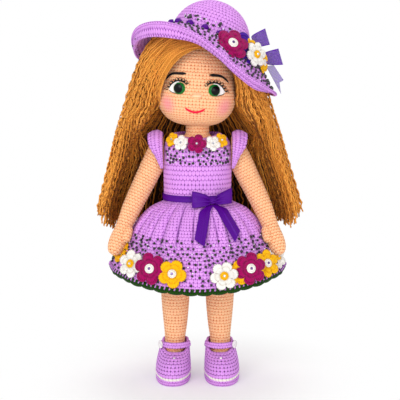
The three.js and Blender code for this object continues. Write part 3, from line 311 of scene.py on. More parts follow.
def knit(
    name: str,
    surface: Surface,
    gauge: Gauge = Gauge(),
    wall: float = 0.0,
    count: Optional[tuple[int, int]] = None,
) -> Object:
    """Crochet a surface: rows of raised stitches, with a map that counts them.

    Args:
        name: The piece's name.
        surface: Gives points in millimetres; u goes round, v up, and both run 0 to 1.
        gauge: The size of a stitch.
        wall: Thickness of the fabric, half to each side, or 0 for a closed skin.
        count: Stitches round and rows up where they aren't left to the gauge.

    Returns:
        The piece.
    """
    dense = np.linspace(0, 1, 241)
    lines = [surface(np.full_like(dense, u), dense) for u in np.linspace(0, 0.875, 8)]
    steps = np.mean([np.linalg.norm(np.diff(line, axis=0), axis=1) for line in lines], axis=0)
    run = np.concatenate([[0], np.cumsum(np.maximum(steps, 1e-6))])

    def even(v: Array) -> Array:
        return np.interp(v * run[-1], run, dense)

    rows = count[1] if count else max(1, round(run[-1] / gauge.height))
    rings = []
    for row in range(rows):
        ring = surface(dense, even(np.full_like(dense, (row + 0.5) / rows)))
        around = np.linalg.norm(np.diff(ring, axis=0), axis=1).sum()
        rings.append(count[0] if count else max(6, round(around / gauge.width)))
    stitches = np.array(rings, float)
    columns = int(max(rings)) * gauge.across
    mesh, uv, corners = unit_grid(name, columns, rows * gauge.along)
    u, v = uv[:, 0], uv[:, 1]
    step = 1e-3
    inside = even(np.clip(v, 0.003, 0.997))
    du = surface(u + step, inside) - surface(u - step, inside)
    dv = surface(u, np.minimum(inside + step, 1)) - surface(u, np.maximum(inside - step, 0))
    normal = unit(np.cross(du, dv))
    row = np.minimum((v * rows).astype(int), rows - 1)
    across = np.sqrt(np.abs(np.sin(math.pi * (u * stitches[row] + row * gauge.lean))))
    up = np.sqrt(np.abs(np.sin(math.pi * v * rows)))
    height = (
        (1 - gauge.rib + gauge.rib * across) * (gauge.rib + (1 - gauge.rib) * up) * gauge.relief
    )
    height = np.where((v < AT_END) | (v > 1 - AT_END), 0, height)
    set_points(mesh, surface(u, even(v)) + normal * height[:, None])
    middle = corners[:, :, 1].mean(axis=1)
    level = np.minimum((middle * rows).astype(int), rows - 1)
    counted = corners[:, :, 0] * stitches[level][:, None] + level[:, None] * gauge.lean
    set_map(mesh, np.stack([counted, corners[:, :, 1] * rows], axis=-1))
    merge(mesh)
    made = object_of(name, mesh)
    return thickened(made, wall, "fabric") if wall else made


def strands(name: str, paths: Array, radii: Array, sides: int = 4, ply: float = 2.2) -> Object:
    """Lay round threads along paths, closed at both ends.

    Args:
        name: The piece's name.
        paths: Threads by points by x, y, z in millimetres.
        radii: Threads by points, in millimetres.
        sides: Faces round a thread.
        ply: Millimetres of thread for one turn of its twist.

    Returns:
        The piece, whose map counts threads across and twists along.
    """
    threads, length = paths.shape[:2]
    rows = threads * length - 1
    mesh, uv, corners = unit_grid(name, sides, rows)
    line = np.round(uv[:, 1] * rows).astype(int)
    thread, place = line // length, line % length
    ahead = unit(np.gradient(paths, axis=1))
    aside = np.cross(ahead, NEARLY_UP)
    weak = np.linalg.norm(aside, axis=-1) < 0.2
    side = np.where(weak[..., None], unit(np.cross(ahead, NEARLY_ACROSS)), unit(aside))
    front = np.cross(ahead, side)
    run = np.cumsum(np.linalg.norm(np.diff(paths, axis=1, prepend=paths[:, :1]), axis=2), axis=1)
    tapered = radii.copy()
    tapered[:, [0, -1]] = 0
    angle = uv[:, 0] * TURN
    r = tapered[thread, place][:, None]
    where = paths[thread, place] + r * (
        np.cos(angle)[:, None] * side[thread, place] - np.sin(angle)[:, None] * front[thread, place]
    )
    set_points(mesh, where)
    level = np.round(corners[:, :, 1] * rows).astype(int)
    owner = level // length
    number = corners[:, :, 0] * WITHIN_THREAD + owner
    set_map(mesh, np.stack([number, run[owner, level % length] / ply], axis=-1))
    bm = bmesh.new()
    bm.from_mesh(mesh)
    bm.faces.ensure_lookup_table()
    loose = [bm.faces[i] for i in np.nonzero(owner.min(1) != owner.max(1))[0]]
    bmesh.ops.delete(bm, geom=loose, context="FACES_ONLY")
    bm.to_mesh(mesh)
    bm.free()
    merge(mesh, 1e-6)
    return object_of(name, mesh)


def cords(
    name: str, guides: Sequence, radius: float, sides: int = 6, count: int = 24, taper: float = 0.0
) -> Object:
    """Lay short smooth threads through guide points.

    Args:
        name: The piece's name.
        guides: Guide points of each thread, in millimetres.
        radius: The threads' radius in millimetres.
        sides: Faces round a thread.
        count: Points along a thread.
        taper: Share of the radius that is lost towards the end.

    Returns:
        The piece.
    """
    paths = np.stack([smooth_path(guide, count) for guide in guides])
    swell = np.sin(np.clip(np.linspace(0, 1, count) * 6, 0, 1) * math.pi / 2)
    swell = swell * swell[::-1] * np.linspace(1, 1 - taper, count)
    return strands(name, paths, radius * np.broadcast_to(swell, paths.shape[:2]), sides, 1.6)


def joined(name: str, pieces: Sequence[Object]) -> Object:
    """Make one piece of several, and drop the single ones."""
    bm = bmesh.new()
    for piece in pieces:
        bm.from_mesh(piece.data)
    mesh = mesh_of(name, bm)
    for piece in pieces:
        old = piece.data
        bpy.data.objects.remove(piece)
        bpy.data.meshes.remove(old)
    return object_of(name, mesh)


def moved(piece: Object, place: Matrix) -> Object:
    """Apply a placing to a piece's mesh, whose translation is in millimetres."""
    metric = place.copy()
    metric.translation = place.translation * MM
    piece.data.transform(metric)
    return piece


def facing(at: Array, outward: Array, turn: float) -> Matrix:
    """Frame at a point, +Z outwards, turned about it."""
    spin = Vector((0, 0, 1)).rotation_difference(Vector(outward)).to_matrix().to_4x4()
    return Matrix.Translation(Vector(at)) @ spin @ Matrix.Rotation(turn, 4, "Z")


def beads(
    name: str, spots: Array, outward: Array, radius: Array, facets: tuple[int, int] = (6, 4)
) -> Object:
    """Sew small glass beads at spots.

    Args:
        name: The piece's name.
        spots: Where they touch the fabric, in millimetres.
        outward: The way out of the fabric at each.
        radius: The radius of each.
        facets: Faces round and up a bead.

    Returns:
        The piece.
    """
    bm = bmesh.new()
    for spot, way, size in zip(spots, unit(outward), radius):
        turn = Vector((0, 0, 1)).rotation_difference(Vector(way)).to_matrix().to_4x4()
        shape = Matrix.Diagonal((1, 1, 0.8, 1))
        place = Matrix.Translation(Vector(spot + way * size * 0.45) * MM)
        bmesh.ops.create_uvsphere(
            bm,
            u_segments=facets[0],
            v_segments=facets[1],
            radius=size * MM,
            matrix=place @ turn @ shape,
        )
    return object_of(name, mesh_of(name, bm))


class Outline:
    """A closed turned form, read evenly along its side."""

    def __init__(self, z: Array, wide: Array, deep: Array) -> None:
        """Keep the side line, from the lowest middle to the highest.

        Args:
            z: Heights along it.
            wide: Half widths along it.
            deep: Half depths along it.
        """
        steps = np.hypot(np.diff(z), np.diff(wide))
        self.run = np.concatenate([[0], np.cumsum(np.maximum(steps, 1e-6))])
        self.z, self.wide, self.deep = z, wide, deep

    def around(self, u: Array, v: Array) -> Array:
        """Points of the form, with the seam at the back."""
        a = u * TURN + math.pi / 2
        s = v * self.run[-1]
        wide, deep = np.interp(s, self.run, self.wide), np.interp(s, self.run, self.deep)
        return points(wide * np.cos(a), deep * np.sin(a), np.interp(s, self.run, self.z))


# ---------------------------------------------------------------- finishes


def paint(code: str) -> Colour:
    """Linear colour of a #rrggbb code."""
    parts = [int(code[i : i + 2], 16) / 255 for i in (1, 3, 5)]
    r, g, b = (c / 12.92 if c <= 0.04045 else ((c + 0.055) / 1.055) ** 2.4 for c in parts)
    return (r, g, b, 1.0)


class Graph:
    """Lays shader nodes into a tree by short calls."""

    def __init__(self, tree: Tree) -> None:
        """Work in a tree."""
        self.tree = tree

    def feed(self, socket: Socket, value: object) -> None:
        """Link a socket or set its value."""
        if isinstance(value, Socket):
            self.tree.links.new(value, socket)
        else:
            socket.default_value = value

    def node(self, kind: str, sockets: Optional[dict] = None, **settings: object) -> bpy.types.Node:
        """Add a node.

        Args:
            kind: The node's type, without ShaderNode.
            sockets: Values or links of its inputs.
            settings: Properties of the node.

        Returns:
            The node.
        """
        made = self.tree.nodes.new(f"ShaderNode{kind}")
        for key, value in settings.items():
            setattr(made, key, value)
        for key, value in (sockets or {}).items():
            self.feed(made.inputs[key], value)
        return made

    def math(self, operation: str, *values: object) -> Socket:
        """Result of a sum on values or links."""
        made = self.node("Math", operation=operation)
        for socket, value in zip(made.inputs, values):
            self.feed(socket, value)
        return made.outputs[0]

    def ramp(
        self, value: object, low: float, high: float, start: float = 0.0, end: float = 1.0
    ) -> Socket:
        """Smooth ramp of a value, from start at low to end at high."""
        sockets = {
            "Value": value, "From Min": low, "From Max": high, "To Min": start, "To Max": end
        }
        return self.node("MapRange", sockets, interpolation_type="SMOOTHSTEP").outputs[0]

    def blend(self, share: object, a: object, b: object) -> Socket:
        """Colour between two colours."""
        made = self.node("Mix", data_type="RGBA")
        for socket, value in zip((made.inputs[0], made.inputs[6], made.inputs[7]), (share, a, b)):
            self.feed(socket, value)
        return made.outputs[2]

    def noise(self, vector: object, scale: float, detail: float = 2.0) -> Socket:
        """Soft noise from 0 to 1."""
        return self.node(
            "TexNoise", {"Vector": vector, "Scale": scale, "Detail": detail}
        ).outputs[0]

    def tint(self, value: object, low: float, high: float, start: str, end: str) -> Socket:
        """Colour that goes from start to end while a value goes from low to high."""
        return self.blend(self.ramp(value, low, high), paint(start), paint(end))

    def apart(self, place: Sequence[float]) -> Socket:
        """Distance from a place, in metres."""
        return self.node(
            "VectorMath", {0: self.place(), 1: place}, operation="DISTANCE"
        ).outputs["Value"]

    def seen(self) -> Socket:
        """1 for rays that the camera sees, straight, mirrored or let through."""
        path = self.node("LightPath").outputs
        plain = self.math("MAXIMUM", path["Is Camera Ray"], path["Is Glossy Ray"])
        return self.math("MAXIMUM", plain, path["Is Transmission Ray"])

    def place(self) -> Socket:
        """Object coordinates, in metres."""
        return self.node("TexCoord").outputs["Object"]

    def map(self) -> tuple[Socket, Socket]:
        """The two numbers of the stitch map."""
        split = self.node("SeparateXYZ", {0: self.node("UVMap", uv_map="stitches").outputs[0]})
        return split.outputs[0], split.outputs[1]


def effect(
    name: str,
    inputs: Sequence[tuple[str, str, object]],
    outputs: Sequence[tuple[str, str]],
    lay: Callable,
) -> Tree:
    """Build a shared shader group once.

    Args:
        name: The group's name.
        inputs: Name, kind and value of each input.
        outputs: Name and kind of each output.
        lay: Lays its nodes from a graph and the inputs, and gives the outputs in order.

    Returns:
        The group.
    """
    if name in bpy.data.node_groups:
        return bpy.data.node_groups[name]
    tree = bpy.data.node_groups.new(name, "ShaderNodeTree")
    for label, kind, value in inputs:
        socket = tree.interface.new_socket(label, in_out="INPUT", socket_type=f"NodeSocket{kind}")
        socket.default_value = value
    for label, kind in outputs:
        tree.interface.new_socket(label, in_out="OUTPUT", socket_type=f"NodeSocket{kind}")
    start, end = tree.nodes.new("NodeGroupInput"), tree.nodes.new("NodeGroupOutput")
    results = lay(Graph(tree), {socket.name: socket for socket in start.outputs if socket.name})
    for (label, _), result in zip(outputs, results):
        tree.links.new(result, end.inputs[label])
    return tree


def crochet_effect() -> Tree:
    """Leaning pairs of plied legs, with a hole or slit at each stitch's corner; the colour is
    painted shade, from Yarn on the legs' tops to Shade on their low parts, and a darker painted
    shade in the holes.
    """

    def lay(g: Graph, given: dict) -> list:
        u, v = g.map()
        fu, fv = g.math("FRACT", u), g.math("FRACT", v)
        across = g.math("ABSOLUTE", g.math("SUBTRACT", fu, 0.5))
        up = g.math("ABSOLUTE", g.math("SUBTRACT", fv, 0.5))
        line = g.math("MULTIPLY_ADD", fv, 0.2, 0.12)
        off = g.math("DIVIDE", g.math("SUBTRACT", across, line), 0.24)
        leg = g.math(
            "SQRT", g.math("MAXIMUM", g.math("SUBTRACT", 1.0, g.math("MULTIPLY", off, off)), 0.0)
        )
        row = g.ramp(up, 0.5, 0.25, 0.35, 1.0)
        wide = g.math("DIVIDE", g.math("SUBTRACT", 0.5, across), given["Wide"])
        tall = g.math("DIVIDE", g.math("SUBTRACT", 0.5, up), given["Tall"])
        reach = g.math("ADD", g.math("MULTIPLY", wide, wide), g.math("MULTIPLY", tall, tall))
        number = [g.math("FLOOR", g.math("ADD", value, 0.5)) for value in (u, v)]
        cell = g.node("CombineXYZ", dict(enumerate(number))).outputs[0]
        tone = g.node("TexWhiteNoise", {"Vector": cell}, noise_dimensions="2D").outputs[0]
        hole = g.math(
            "MULTIPLY", g.ramp(reach, 1.2, 0.3), g.math("MULTIPLY_ADD", tone, 0.5, given["Open"])
        )
        twist = g.math("ADD", g.math("MULTIPLY", across, 50.0), g.math("MULTIPLY", fv, 32.0))
        twist = g.math("MULTIPLY_ADD", g.math("SINE", twist), 0.5, 0.5)
        fuzz = g.noise(g.place(), 1500.0, 3.0)
        height = g.math("MULTIPLY", leg, row)
        dip = g.math("MULTIPLY", g.math("MULTIPLY", twist, given["Ply"]), -0.3)
        high = g.math("ADD", g.math("ADD", height, dip), g.math("MULTIPLY", fuzz, 0.25))
        light = g.math(
            "SUBTRACT", g.ramp(high, 0.0, 0.8), g.math("MULTIPLY", tone, given["Uneven"])
        )
        # Painted shade: the low parts of each stitch take the Shade colour, and the holes a darker
        # shade colour.
        colour = g.blend(g.math("MAXIMUM", light, 0.0), given["Shade"], given["Yarn"])
        colour = g.blend(g.math("MINIMUM", hole, 1.0), colour, given["Gap"])
        return [colour, g.math("SUBTRACT", high, hole)]

    inputs = [
        ("Yarn", "Color", paint("#ffffff")),
        ("Shade", "Color", paint("#999999")),
        ("Gap", "Color", paint("#333333")),
        ("Ply", "Float", 0.6),
        ("Uneven", "Float", 0.12),
        ("Open", "Float", 0.5),
        ("Wide", "Float", 0.25),
        ("Tall", "Float", 0.25),
    ]
    return effect("crochet_stitches", inputs, [("Color", "Color"), ("Height", "Float")], lay)


def thread_effect() -> Tree:
    """A twisted thread: ply lines with painted shade between them, a tone for each thread and slow
    changes along it.
    """

    def lay(g: Graph, given: dict) -> list:
        u, v = g.map()
        turn = g.math(
            "ADD", g.math("MULTIPLY", g.math("FRACT", u), 2 * TURN), g.math("MULTIPLY", v, TURN)
        )
        twist = g.math("MULTIPLY_ADD", g.math("SINE", turn), 0.5, 0.5)
        number = g.math("FLOOR", u)
        tone = g.node("TexWhiteNoise", {"W": number}, noise_dimensions="1D").outputs[0]
        fuzz = g.noise(g.place(), 900.0, 3.0)
        # The colour is partly the random tone of each thread and partly painted shade along the ply
        # lines.
        light = g.math("ADD", g.math("MULTIPLY", twist, 0.3), g.math("MULTIPLY", tone, 0.6))
        light = g.math("ADD", light, g.math("MULTIPLY", fuzz, 0.3))
        colour = g.blend(g.ramp(light, 0.15, 0.95), given["Shade"], given["Yarn"])
        return [colour, g.math("ADD", twist, g.math("MULTIPLY", fuzz, 0.4))]

    inputs = [("Yarn", "Color", paint("#ffffff")), ("Shade", "Color", paint("#777777"))]
    return effect("twisted_thread", inputs, [("Color", "Color"), ("Height", "Float")], lay)


def weave_effect() -> Tree:
    """A fine ribbon weave over the stitch map, with long soft streaks of painted sheen."""

    def lay(g: Graph, given: dict) -> list:
        u, v = g.map()
        warp = g.math("SINE", g.math("MULTIPLY", u, given["Warp"]))
        weft = g.math("SINE", g.math("MULTIPLY", v, given["Weft"]))
        weave = g.math("MULTIPLY_ADD", g.math("MULTIPLY", warp, weft), 0.5, 0.5)
        drawn = g.node("CombineXYZ", {0: g.math("MULTIPLY", u, 0.6), 1: g.math("MULTIPLY", v, 9.0)})
        return [weave, g.noise(drawn.outputs[0], 2.0)]

    inputs = [("Warp", "Float", 60.0), ("Weft", "Float", 60.0)]
    return effect("ribbon_weave", inputs, [("Weave", "Float"), ("Streak", "Float")], lay)


class Finish:
    """A material of the doll: its name in the file and a slot name, which nothing reads."""

    label: str
    slot: str

    def shade(self, g: Graph, shader: bpy.types.Node) -> None:
        """Lay the nodes that feed the shader."""
        raise NotImplementedError

    def material(self) -> bpy.types.Material:
        """The material, built once."""
        if self.label in bpy.data.materials:
            return bpy.data.materials[self.label]
        made = bpy.data.materials.new(self.label)
        made.use_nodes = True
        self.shade(Graph(made.node_tree), made.node_tree.nodes["Principled BSDF"])
        return made

    def dress(self, piece: Object) -> Object:
        """Put the material on a piece."""
        piece.data.materials.clear()
        piece.data.materials.append(self.material())
        return piece


def set_shader(shader: bpy.types.Node, **values: object) -> None:
    """Set plain numbers and colours on a shader's own sockets."""
    for key, value in values.items():
        shader.inputs[key.replace("_", " ")].default_value = value


def bumped(g: Graph, shader: bpy.types.Node, height: Socket, strength: float, depth: float) -> None:
    """Feed a height to the shader's normal, with a depth in millimetres."""
    bump = g.node("Bump", {"Height": height, "Strength": strength, "Distance": depth * MM})
    g.feed(shader.inputs["Normal"], bump.outputs[0])


@dataclass(frozen=True)
class Yarn(Finish):
    """Crocheted yarn in three tones: the lit stitch, painted shade on the stitches' low parts and
    painted shade in the gaps.
    """

    label: str
    slot: str
    # yarn is the lit colour, tone the painted shade of the stitches' low parts and gap the painted
    # shade in the holes.
    yarn: str
    tone: str
    gap: str
    ply: float = 0.6
    uneven: float = 0.15
    open: float = 0.5
    wide: float = 0.25
    tall: float = 0.25
    depth: float = 0.5
    blushes: tuple = ()
    # When set, the valleys between gathers get painted shade.
    gathered: bool = False

    def shade(self, g: Graph, shader: bpy.types.Node) -> None:
        """Feed stitches with their painted shade, rouge where the piece has it, and painted shade
        in the valleys between gathers where it has them.
        """
        made = g.node("Group")
        made.node_tree = crochet_effect()
        for key, value in (("Yarn", self.yarn), ("Shade", self.tone), ("Gap", self.gap)):
            made.inputs[key].default_value = paint(value)
        for key in ("ply", "uneven", "open", "wide", "tall"):
            made.inputs[key.title()].default_value = getattr(self, key)
        colour = made.outputs["Color"]
        for x, y, z, radius in self.blushes:
            away = g.apart((x * MM, y * MM, z * MM))
            rouge = g.ramp(away, radius * MM, radius * 0.1 * MM, 0.0, 0.72)
            colour = g.blend(rouge, colour, paint(ROUGE))
        # Painted shade: darken the colour towards the gap colour in the valleys between the skirt's
        # gathers.
        if self.gathered:
            valley = g.node("Attribute", attribute_name="valley").outputs["Fac"]
            shadow = g.ramp(valley, 0.0, 0.5, 0.0, 0.92)
            colour = g.blend(shadow, colour, g.blend(0.7, colour, paint(self.gap)))
        g.feed(shader.inputs["Base Color"], colour)
        bumped(g, shader, made.outputs["Height"], 0.8, self.depth)
        set_shader(
            shader, Roughness=0.9, Sheen_Weight=0.08, Sheen_Roughness=0.5, Specular_IOR_Level=0.1
        )


@dataclass(frozen=True)
class Thread(Finish):
    """Loose or embroidered thread in two tones, lit and shaded, mixed by a random tone for each
    thread and by painted shade along its ply.
    """

    label: str
    slot: str
    yarn: str
    tone: str
    rough: float = 0.75
    sheen: float = 0.05
    depth: float = 0.25

    def shade(self, g: Graph, shader: bpy.types.Node) -> None:
        """Feed the twist."""
        made = g.node("Group")
        made.node_tree = thread_effect()
        made.inputs["Yarn"].default_value = paint(self.yarn)
        made.inputs["Shade"].default_value = paint(self.tone)
        g.feed(shader.inputs["Base Color"], made.outputs["Color"])
        bumped(g, shader, made.outputs["Height"], 0.7, self.depth)
        set_shader(shader, Roughness=self.rough, Sheen_Weight=self.sheen, Specular_IOR_Level=0.2)


@dataclass(frozen=True)
class Ribbon(Finish):
    """Woven ribbon, dense satin or sheer organza."""

    label: str
    slot: str
    light: str
    dark: str
    cover: float = 1.0
    rough: float = 0.4
    warp: float = 60.0
    weft: float = 60.0

    def shade(self, g: Graph, shader: bpy.types.Node) -> None:
        """Feed the weave, its streaks of painted sheen and, for organza, its cover."""
        made = g.node("Group")
        made.node_tree = weave_effect()
        made.inputs["Warp"].default_value = self.warp
        made.inputs["Weft"].default_value = self.weft
        weave, grain_and_sheen_streak = made.outputs["Weave"], made.outputs["Streak"]
        # Painted sheen: long soft streaks lighten and darken the ribbon.
        light = g.math("ADD", g.math("MULTIPLY", weave, 0.25), g.math("MULTIPLY", grain_and_sheen_streak, 0.8))
        g.feed(shader.inputs["Base Color"], g.tint(light, 0.15, 0.85, self.dark, self.light))
        bumped(g, shader, weave, 0.3, 0.12)
        if self.cover < 1:
            edge = g.math("ABSOLUTE", g.math("SUBTRACT", g.map()[1], 0.5))
            hem = g.ramp(edge, 0.43, 0.46)
            cover = g.math("MULTIPLY_ADD", weave, 0.16, self.cover - 0.08)
            g.feed(shader.inputs["Alpha"], g.math("MAXIMUM", cover, g.math("MULTIPLY", hem, 0.96)))
        set_shader(
            shader, Roughness=self.rough, Sheen_Weight=0.0, Specular_IOR_Level=0.14, Anisotropic=0.4
        )


@dataclass(frozen=True)
class Gloss(Finish):
    """Hard shiny trim: beads, gems, pearl and moulded plastic, with faint clouds in its colour."""

    label: str
    slot: str
    light: str
    dark: str
    rough: float = 0.12
    metal: float = 0.0
    coat: float = 0.6
    clouds: float = 400.0

    def shade(self, g: Graph, shader: bpy.types.Node) -> None:
        """Feed clouds of colour and a faint unevenness."""
        cloud = g.noise(g.place(), self.clouds)
        g.feed(shader.inputs["Base Color"], g.tint(cloud, 0.3, 0.7, self.dark, self.light))
        g.feed(shader.inputs["Roughness"], g.math("MULTIPLY_ADD", cloud, 0.1, self.rough))
        set_shader(
            shader,
            Metallic=self.metal,
            Coat_Weight=self.coat,
            Coat_Roughness=0.05,
            Specular_IOR_Level=0.6,
        )


@dataclass(frozen=True)
class EyePlastic(Finish):
    """Safety eye: black pupil in a green ring, by distance from the middle."""

    label: str = "safety_eye"
    slot: str = "eye_plastic"

    def shade(self, g: Graph, shader: bpy.types.Node) -> None:
        """Feed the rings of colour."""
        v = g.map()[1]
        ring = g.tint(v, 0.5, 0.66, "#0c8a30", "#055a1c")
        mottle = g.noise(g.place(), 900.0)
        ring = g.blend(g.math("MULTIPLY", mottle, 0.25), ring, paint("#2a9a4c"))
        g.feed(shader.inputs["Base Color"], g.blend(g.ramp(v, 0.69, 0.72), ring, paint("#020303")))
        set_shader(shader, Roughness=0.2, Specular_IOR_Level=0.18)


@dataclass(frozen=True)
class Grain(Finish):
    """Wood or board, streaked along one axis."""

    label: str
    slot: str
    light: str
    dark: str
    stretch: tuple = (300.0, 300.0, 20.0)
    rough: float = 0.7

    def shade(self, g: Graph, shader: bpy.types.Node) -> None:
        """Feed streaks."""
        flat = g.node("Mapping", {"Vector": g.place(), "Scale": self.stretch}).outputs[0]
        grain_and_sheen_streak = g.noise(flat, 4.0, 4.0)
        g.feed(shader.inputs["Base Color"], g.tint(grain_and_sheen_streak, 0.3, 0.7, self.dark, self.light))
        bumped(g, shader, grain_and_sheen_streak, 0.3, 0.1)
        set_shader(shader, Roughness=self.rough)


ROUGE = "#fb93a2"
# Each Yarn gives a lit colour, the painted shade of its stitches' low parts and the painted shade
# in its holes.
SKIN = Yarn(
    "skin_crochet", "skin_yarn", "#fecb9c", "#fba874", "#dc6430", open=0.55, wide=0.27, tall=0.23
)
LILAC = Yarn(
    "lilac_crochet", "lilac_yarn", "#e2a0ef", "#c574d8", "#681a86", open=0.45, wide=0.22, tall=0.33
)
# The skirt's lilac, with painted shade in the valleys between its gathers.
LILAC_FOLD_SHADED = Yarn(
    "lilac_gathered", "lilac_yarn", LILAC.yarn, LILAC.tone, LILAC.gap,
    open=0.38, wide=0.22, tall=0.33, gathered=True,
)
LACE = Yarn(
    "lilac_openwork", "lilac_yarn", "#e0a0ee", "#c674da", "#561070", open=0.95, wide=0.26, tall=0.24
)
PLUM_YARN = Yarn("plum_crochet", "plum_yarn", "#ae0062", "#8a004c", "#4c002c", open=0.3, tall=0.3)
WHITE_YARN = Yarn("white_crochet", "white_yarn", "#fffcf6", "#f3ece2", "#c9bcae", open=0.3)
YELLOW_YARN = Yarn("yellow_crochet", "yellow_yarn", "#ffc40c", "#fbac02", "#d98200", open=0.3)
VIOLET_YARN = Yarn("violet_crochet", "violet_ribbon", "#4d0fa8", "#3a0884", "#1d0548")
GREEN = Yarn("green_crochet", "green_yarn", "#1c4508", "#0f2c04", "#050f01")
# The core's dark colour is painted shade deep inside the hair.
CORE_SHADE = Yarn("wig_core", "hair_yarn", "#3a1a05", "#210e02", "#0e0500")
CAP = Yarn("wig_cap", "hair_yarn", "#d08a34", "#a8641c", "#4a2606")
# Lit and shaded copies of the hair yarn: the darker copy is painted shade for strands that lie
# under the fall's surface.
HAIR = Thread("caramel_strands", "hair_yarn", "#f0a445", "#c27a26")
SHADED_HAIR = Thread("shaded_strands", "hair_yarn", "#c87a22", "#643408")
BLACK = Thread("black_thread", "thread", "#1a1416", "#060405", depth=0.1)
RED = Thread("red_thread", "thread", "#fb1846", "#d8082c", depth=0.1)
FELT = Thread("white_felt", "thread", "#fbf7f2", "#e4dcd6", depth=0.05)
PEACH = Thread("peach_thread", "skin_yarn", "#fdd3ab", "#f3a878", depth=0.1)
SATIN = Ribbon("violet_satin", "violet_ribbon", "#62009a", "#2c0062")
ORGANZA = Ribbon("violet_organza", "organza_ribbon", "#7218bc", "#42048e", cover=0.46, rough=0.45)
JET = Gloss("jet_beads", "thread", "#0b060d", "#020102", rough=0.25, coat=0.15)
CLEAR = Gloss("clear_beads", "pearl", "#fbf4ff", "#cdbcd8", rough=0.05)
AMETHYST = Gloss("amethyst_gem", "pearl", "#8a5cb0", "#3c1a5c", rough=0.05, metal=0.4)
CRYSTAL = Gloss("crystal_gem", "pearl", "#f2f2fa", "#8e8c9c", rough=0.05, metal=0.5)
PEARL = Gloss("pearl_button", "pearl", "#f1edee", "#cfc6cb", rough=0.2, clouds=150.0)
WASHER = Gloss("washer_plastic", "washer_plastic", "#f4f4f4", "#dcdcdc", rough=0.4, coat=0.0)
EYE = EyePlastic()
WOOD = Grain("dowel_wood", "dowel_wood", "#d9b080", "#a9794a")
BOARD = Grain("insole_board", "insole_board", "#ddd0ba", "#c2b298", stretch=(150.0, 40.0, 150.0))


@dataclass
class Piece:
    """Shared ways of the doll's sub-assemblies."""

    body: str = "torso"

    def settle(self, made: Object, finish: Finish, *nodes: str) -> Object:
        """Dress a piece, let it ride and let it stand for CAD nodes.

        Args:
            made: The piece.
            finish: Its material.
            nodes: CAD nodes that it replaces.

        Returns:
            The piece.
        """
        finish.dress(made)
        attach(made, self.body)
        if nodes:
            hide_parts(*nodes)
        log.info("%s: %d faces, rides on %s", made.name, len(made.data.polygons), self.body)
        return made

    def plant(self, flower: "Flower", node: str, place: Matrix) -> list[Object]:
        """Build a flower in place of its CAD node."""
        made, finishes = flower.build(node, place)
        for number, (piece, finish) in enumerate(zip(made, finishes)):
            self.settle(piece, finish, *([node] if not number else []))
        return made


# ---------------------------------------------------------------- the doll's body

HEAD_SHARES = (
    (0, 0.33), (0.03, 0.56), (0.08, 0.74), (0.16, 0.895), (0.25, 0.972), (0.34, 1), (0.45, 0.99),
    (0.56, 0.955), (0.68, 0.88), (0.79, 0.765), (0.88, 0.6), (0.95, 0.4), (1, 0.1),
)
# Pixels of the photograph: the points of each line of the face, the nose's top, and the
# middle of each cheek with the radius of its rouge in millimetres.
BROWS = (
    ((187, 73.8), (181, 73.5), (176, 73.4), (172.4, 74.2), (169.2, 76.6), (166.5, 79.8)),
    ((208.3, 75.2), (214, 75.4), (219.6, 76.2), (223.6, 78.4), (227.9, 83)),
)
MOUTH = (
    (184.8, 107), (187.6, 109.3), (191, 111), (195.5, 111.9),
    (200.2, 111.1), (203, 109.8), (205.3, 108.2),
)
LIDS = {
    Side.RIGHT: ((186.6, 84.9), (184.3, 82), (179.6, 80.7), (175, 82), (171.7, 85), (169.4, 89)),
    Side.LEFT: ((206.4, 86.4), (208.6, 83.9), (213, 82.8), (217.7, 83.8), (221.4, 87), (224.3, 92)),
}
LOWER_LIDS = {
    Side.RIGHT: ((169.5, 89.4), (171.6, 91.5), (175.4, 93), (179.8, 93.8)),
    Side.LEFT: ((224.2, 92.4), (222.5, 94.3), (218.5, 95.6), (213.5, 96.2)),
}
CHEEKS = ((167.8, 103.6, 13.5), (224.2, 107.2, 15.0))
NOSE, NOSE_HALVES, NOSE_STEP = (197, 93.9), (3.6, 4.6, 5.0, 5.0, 4.5, 3.3), 0.88


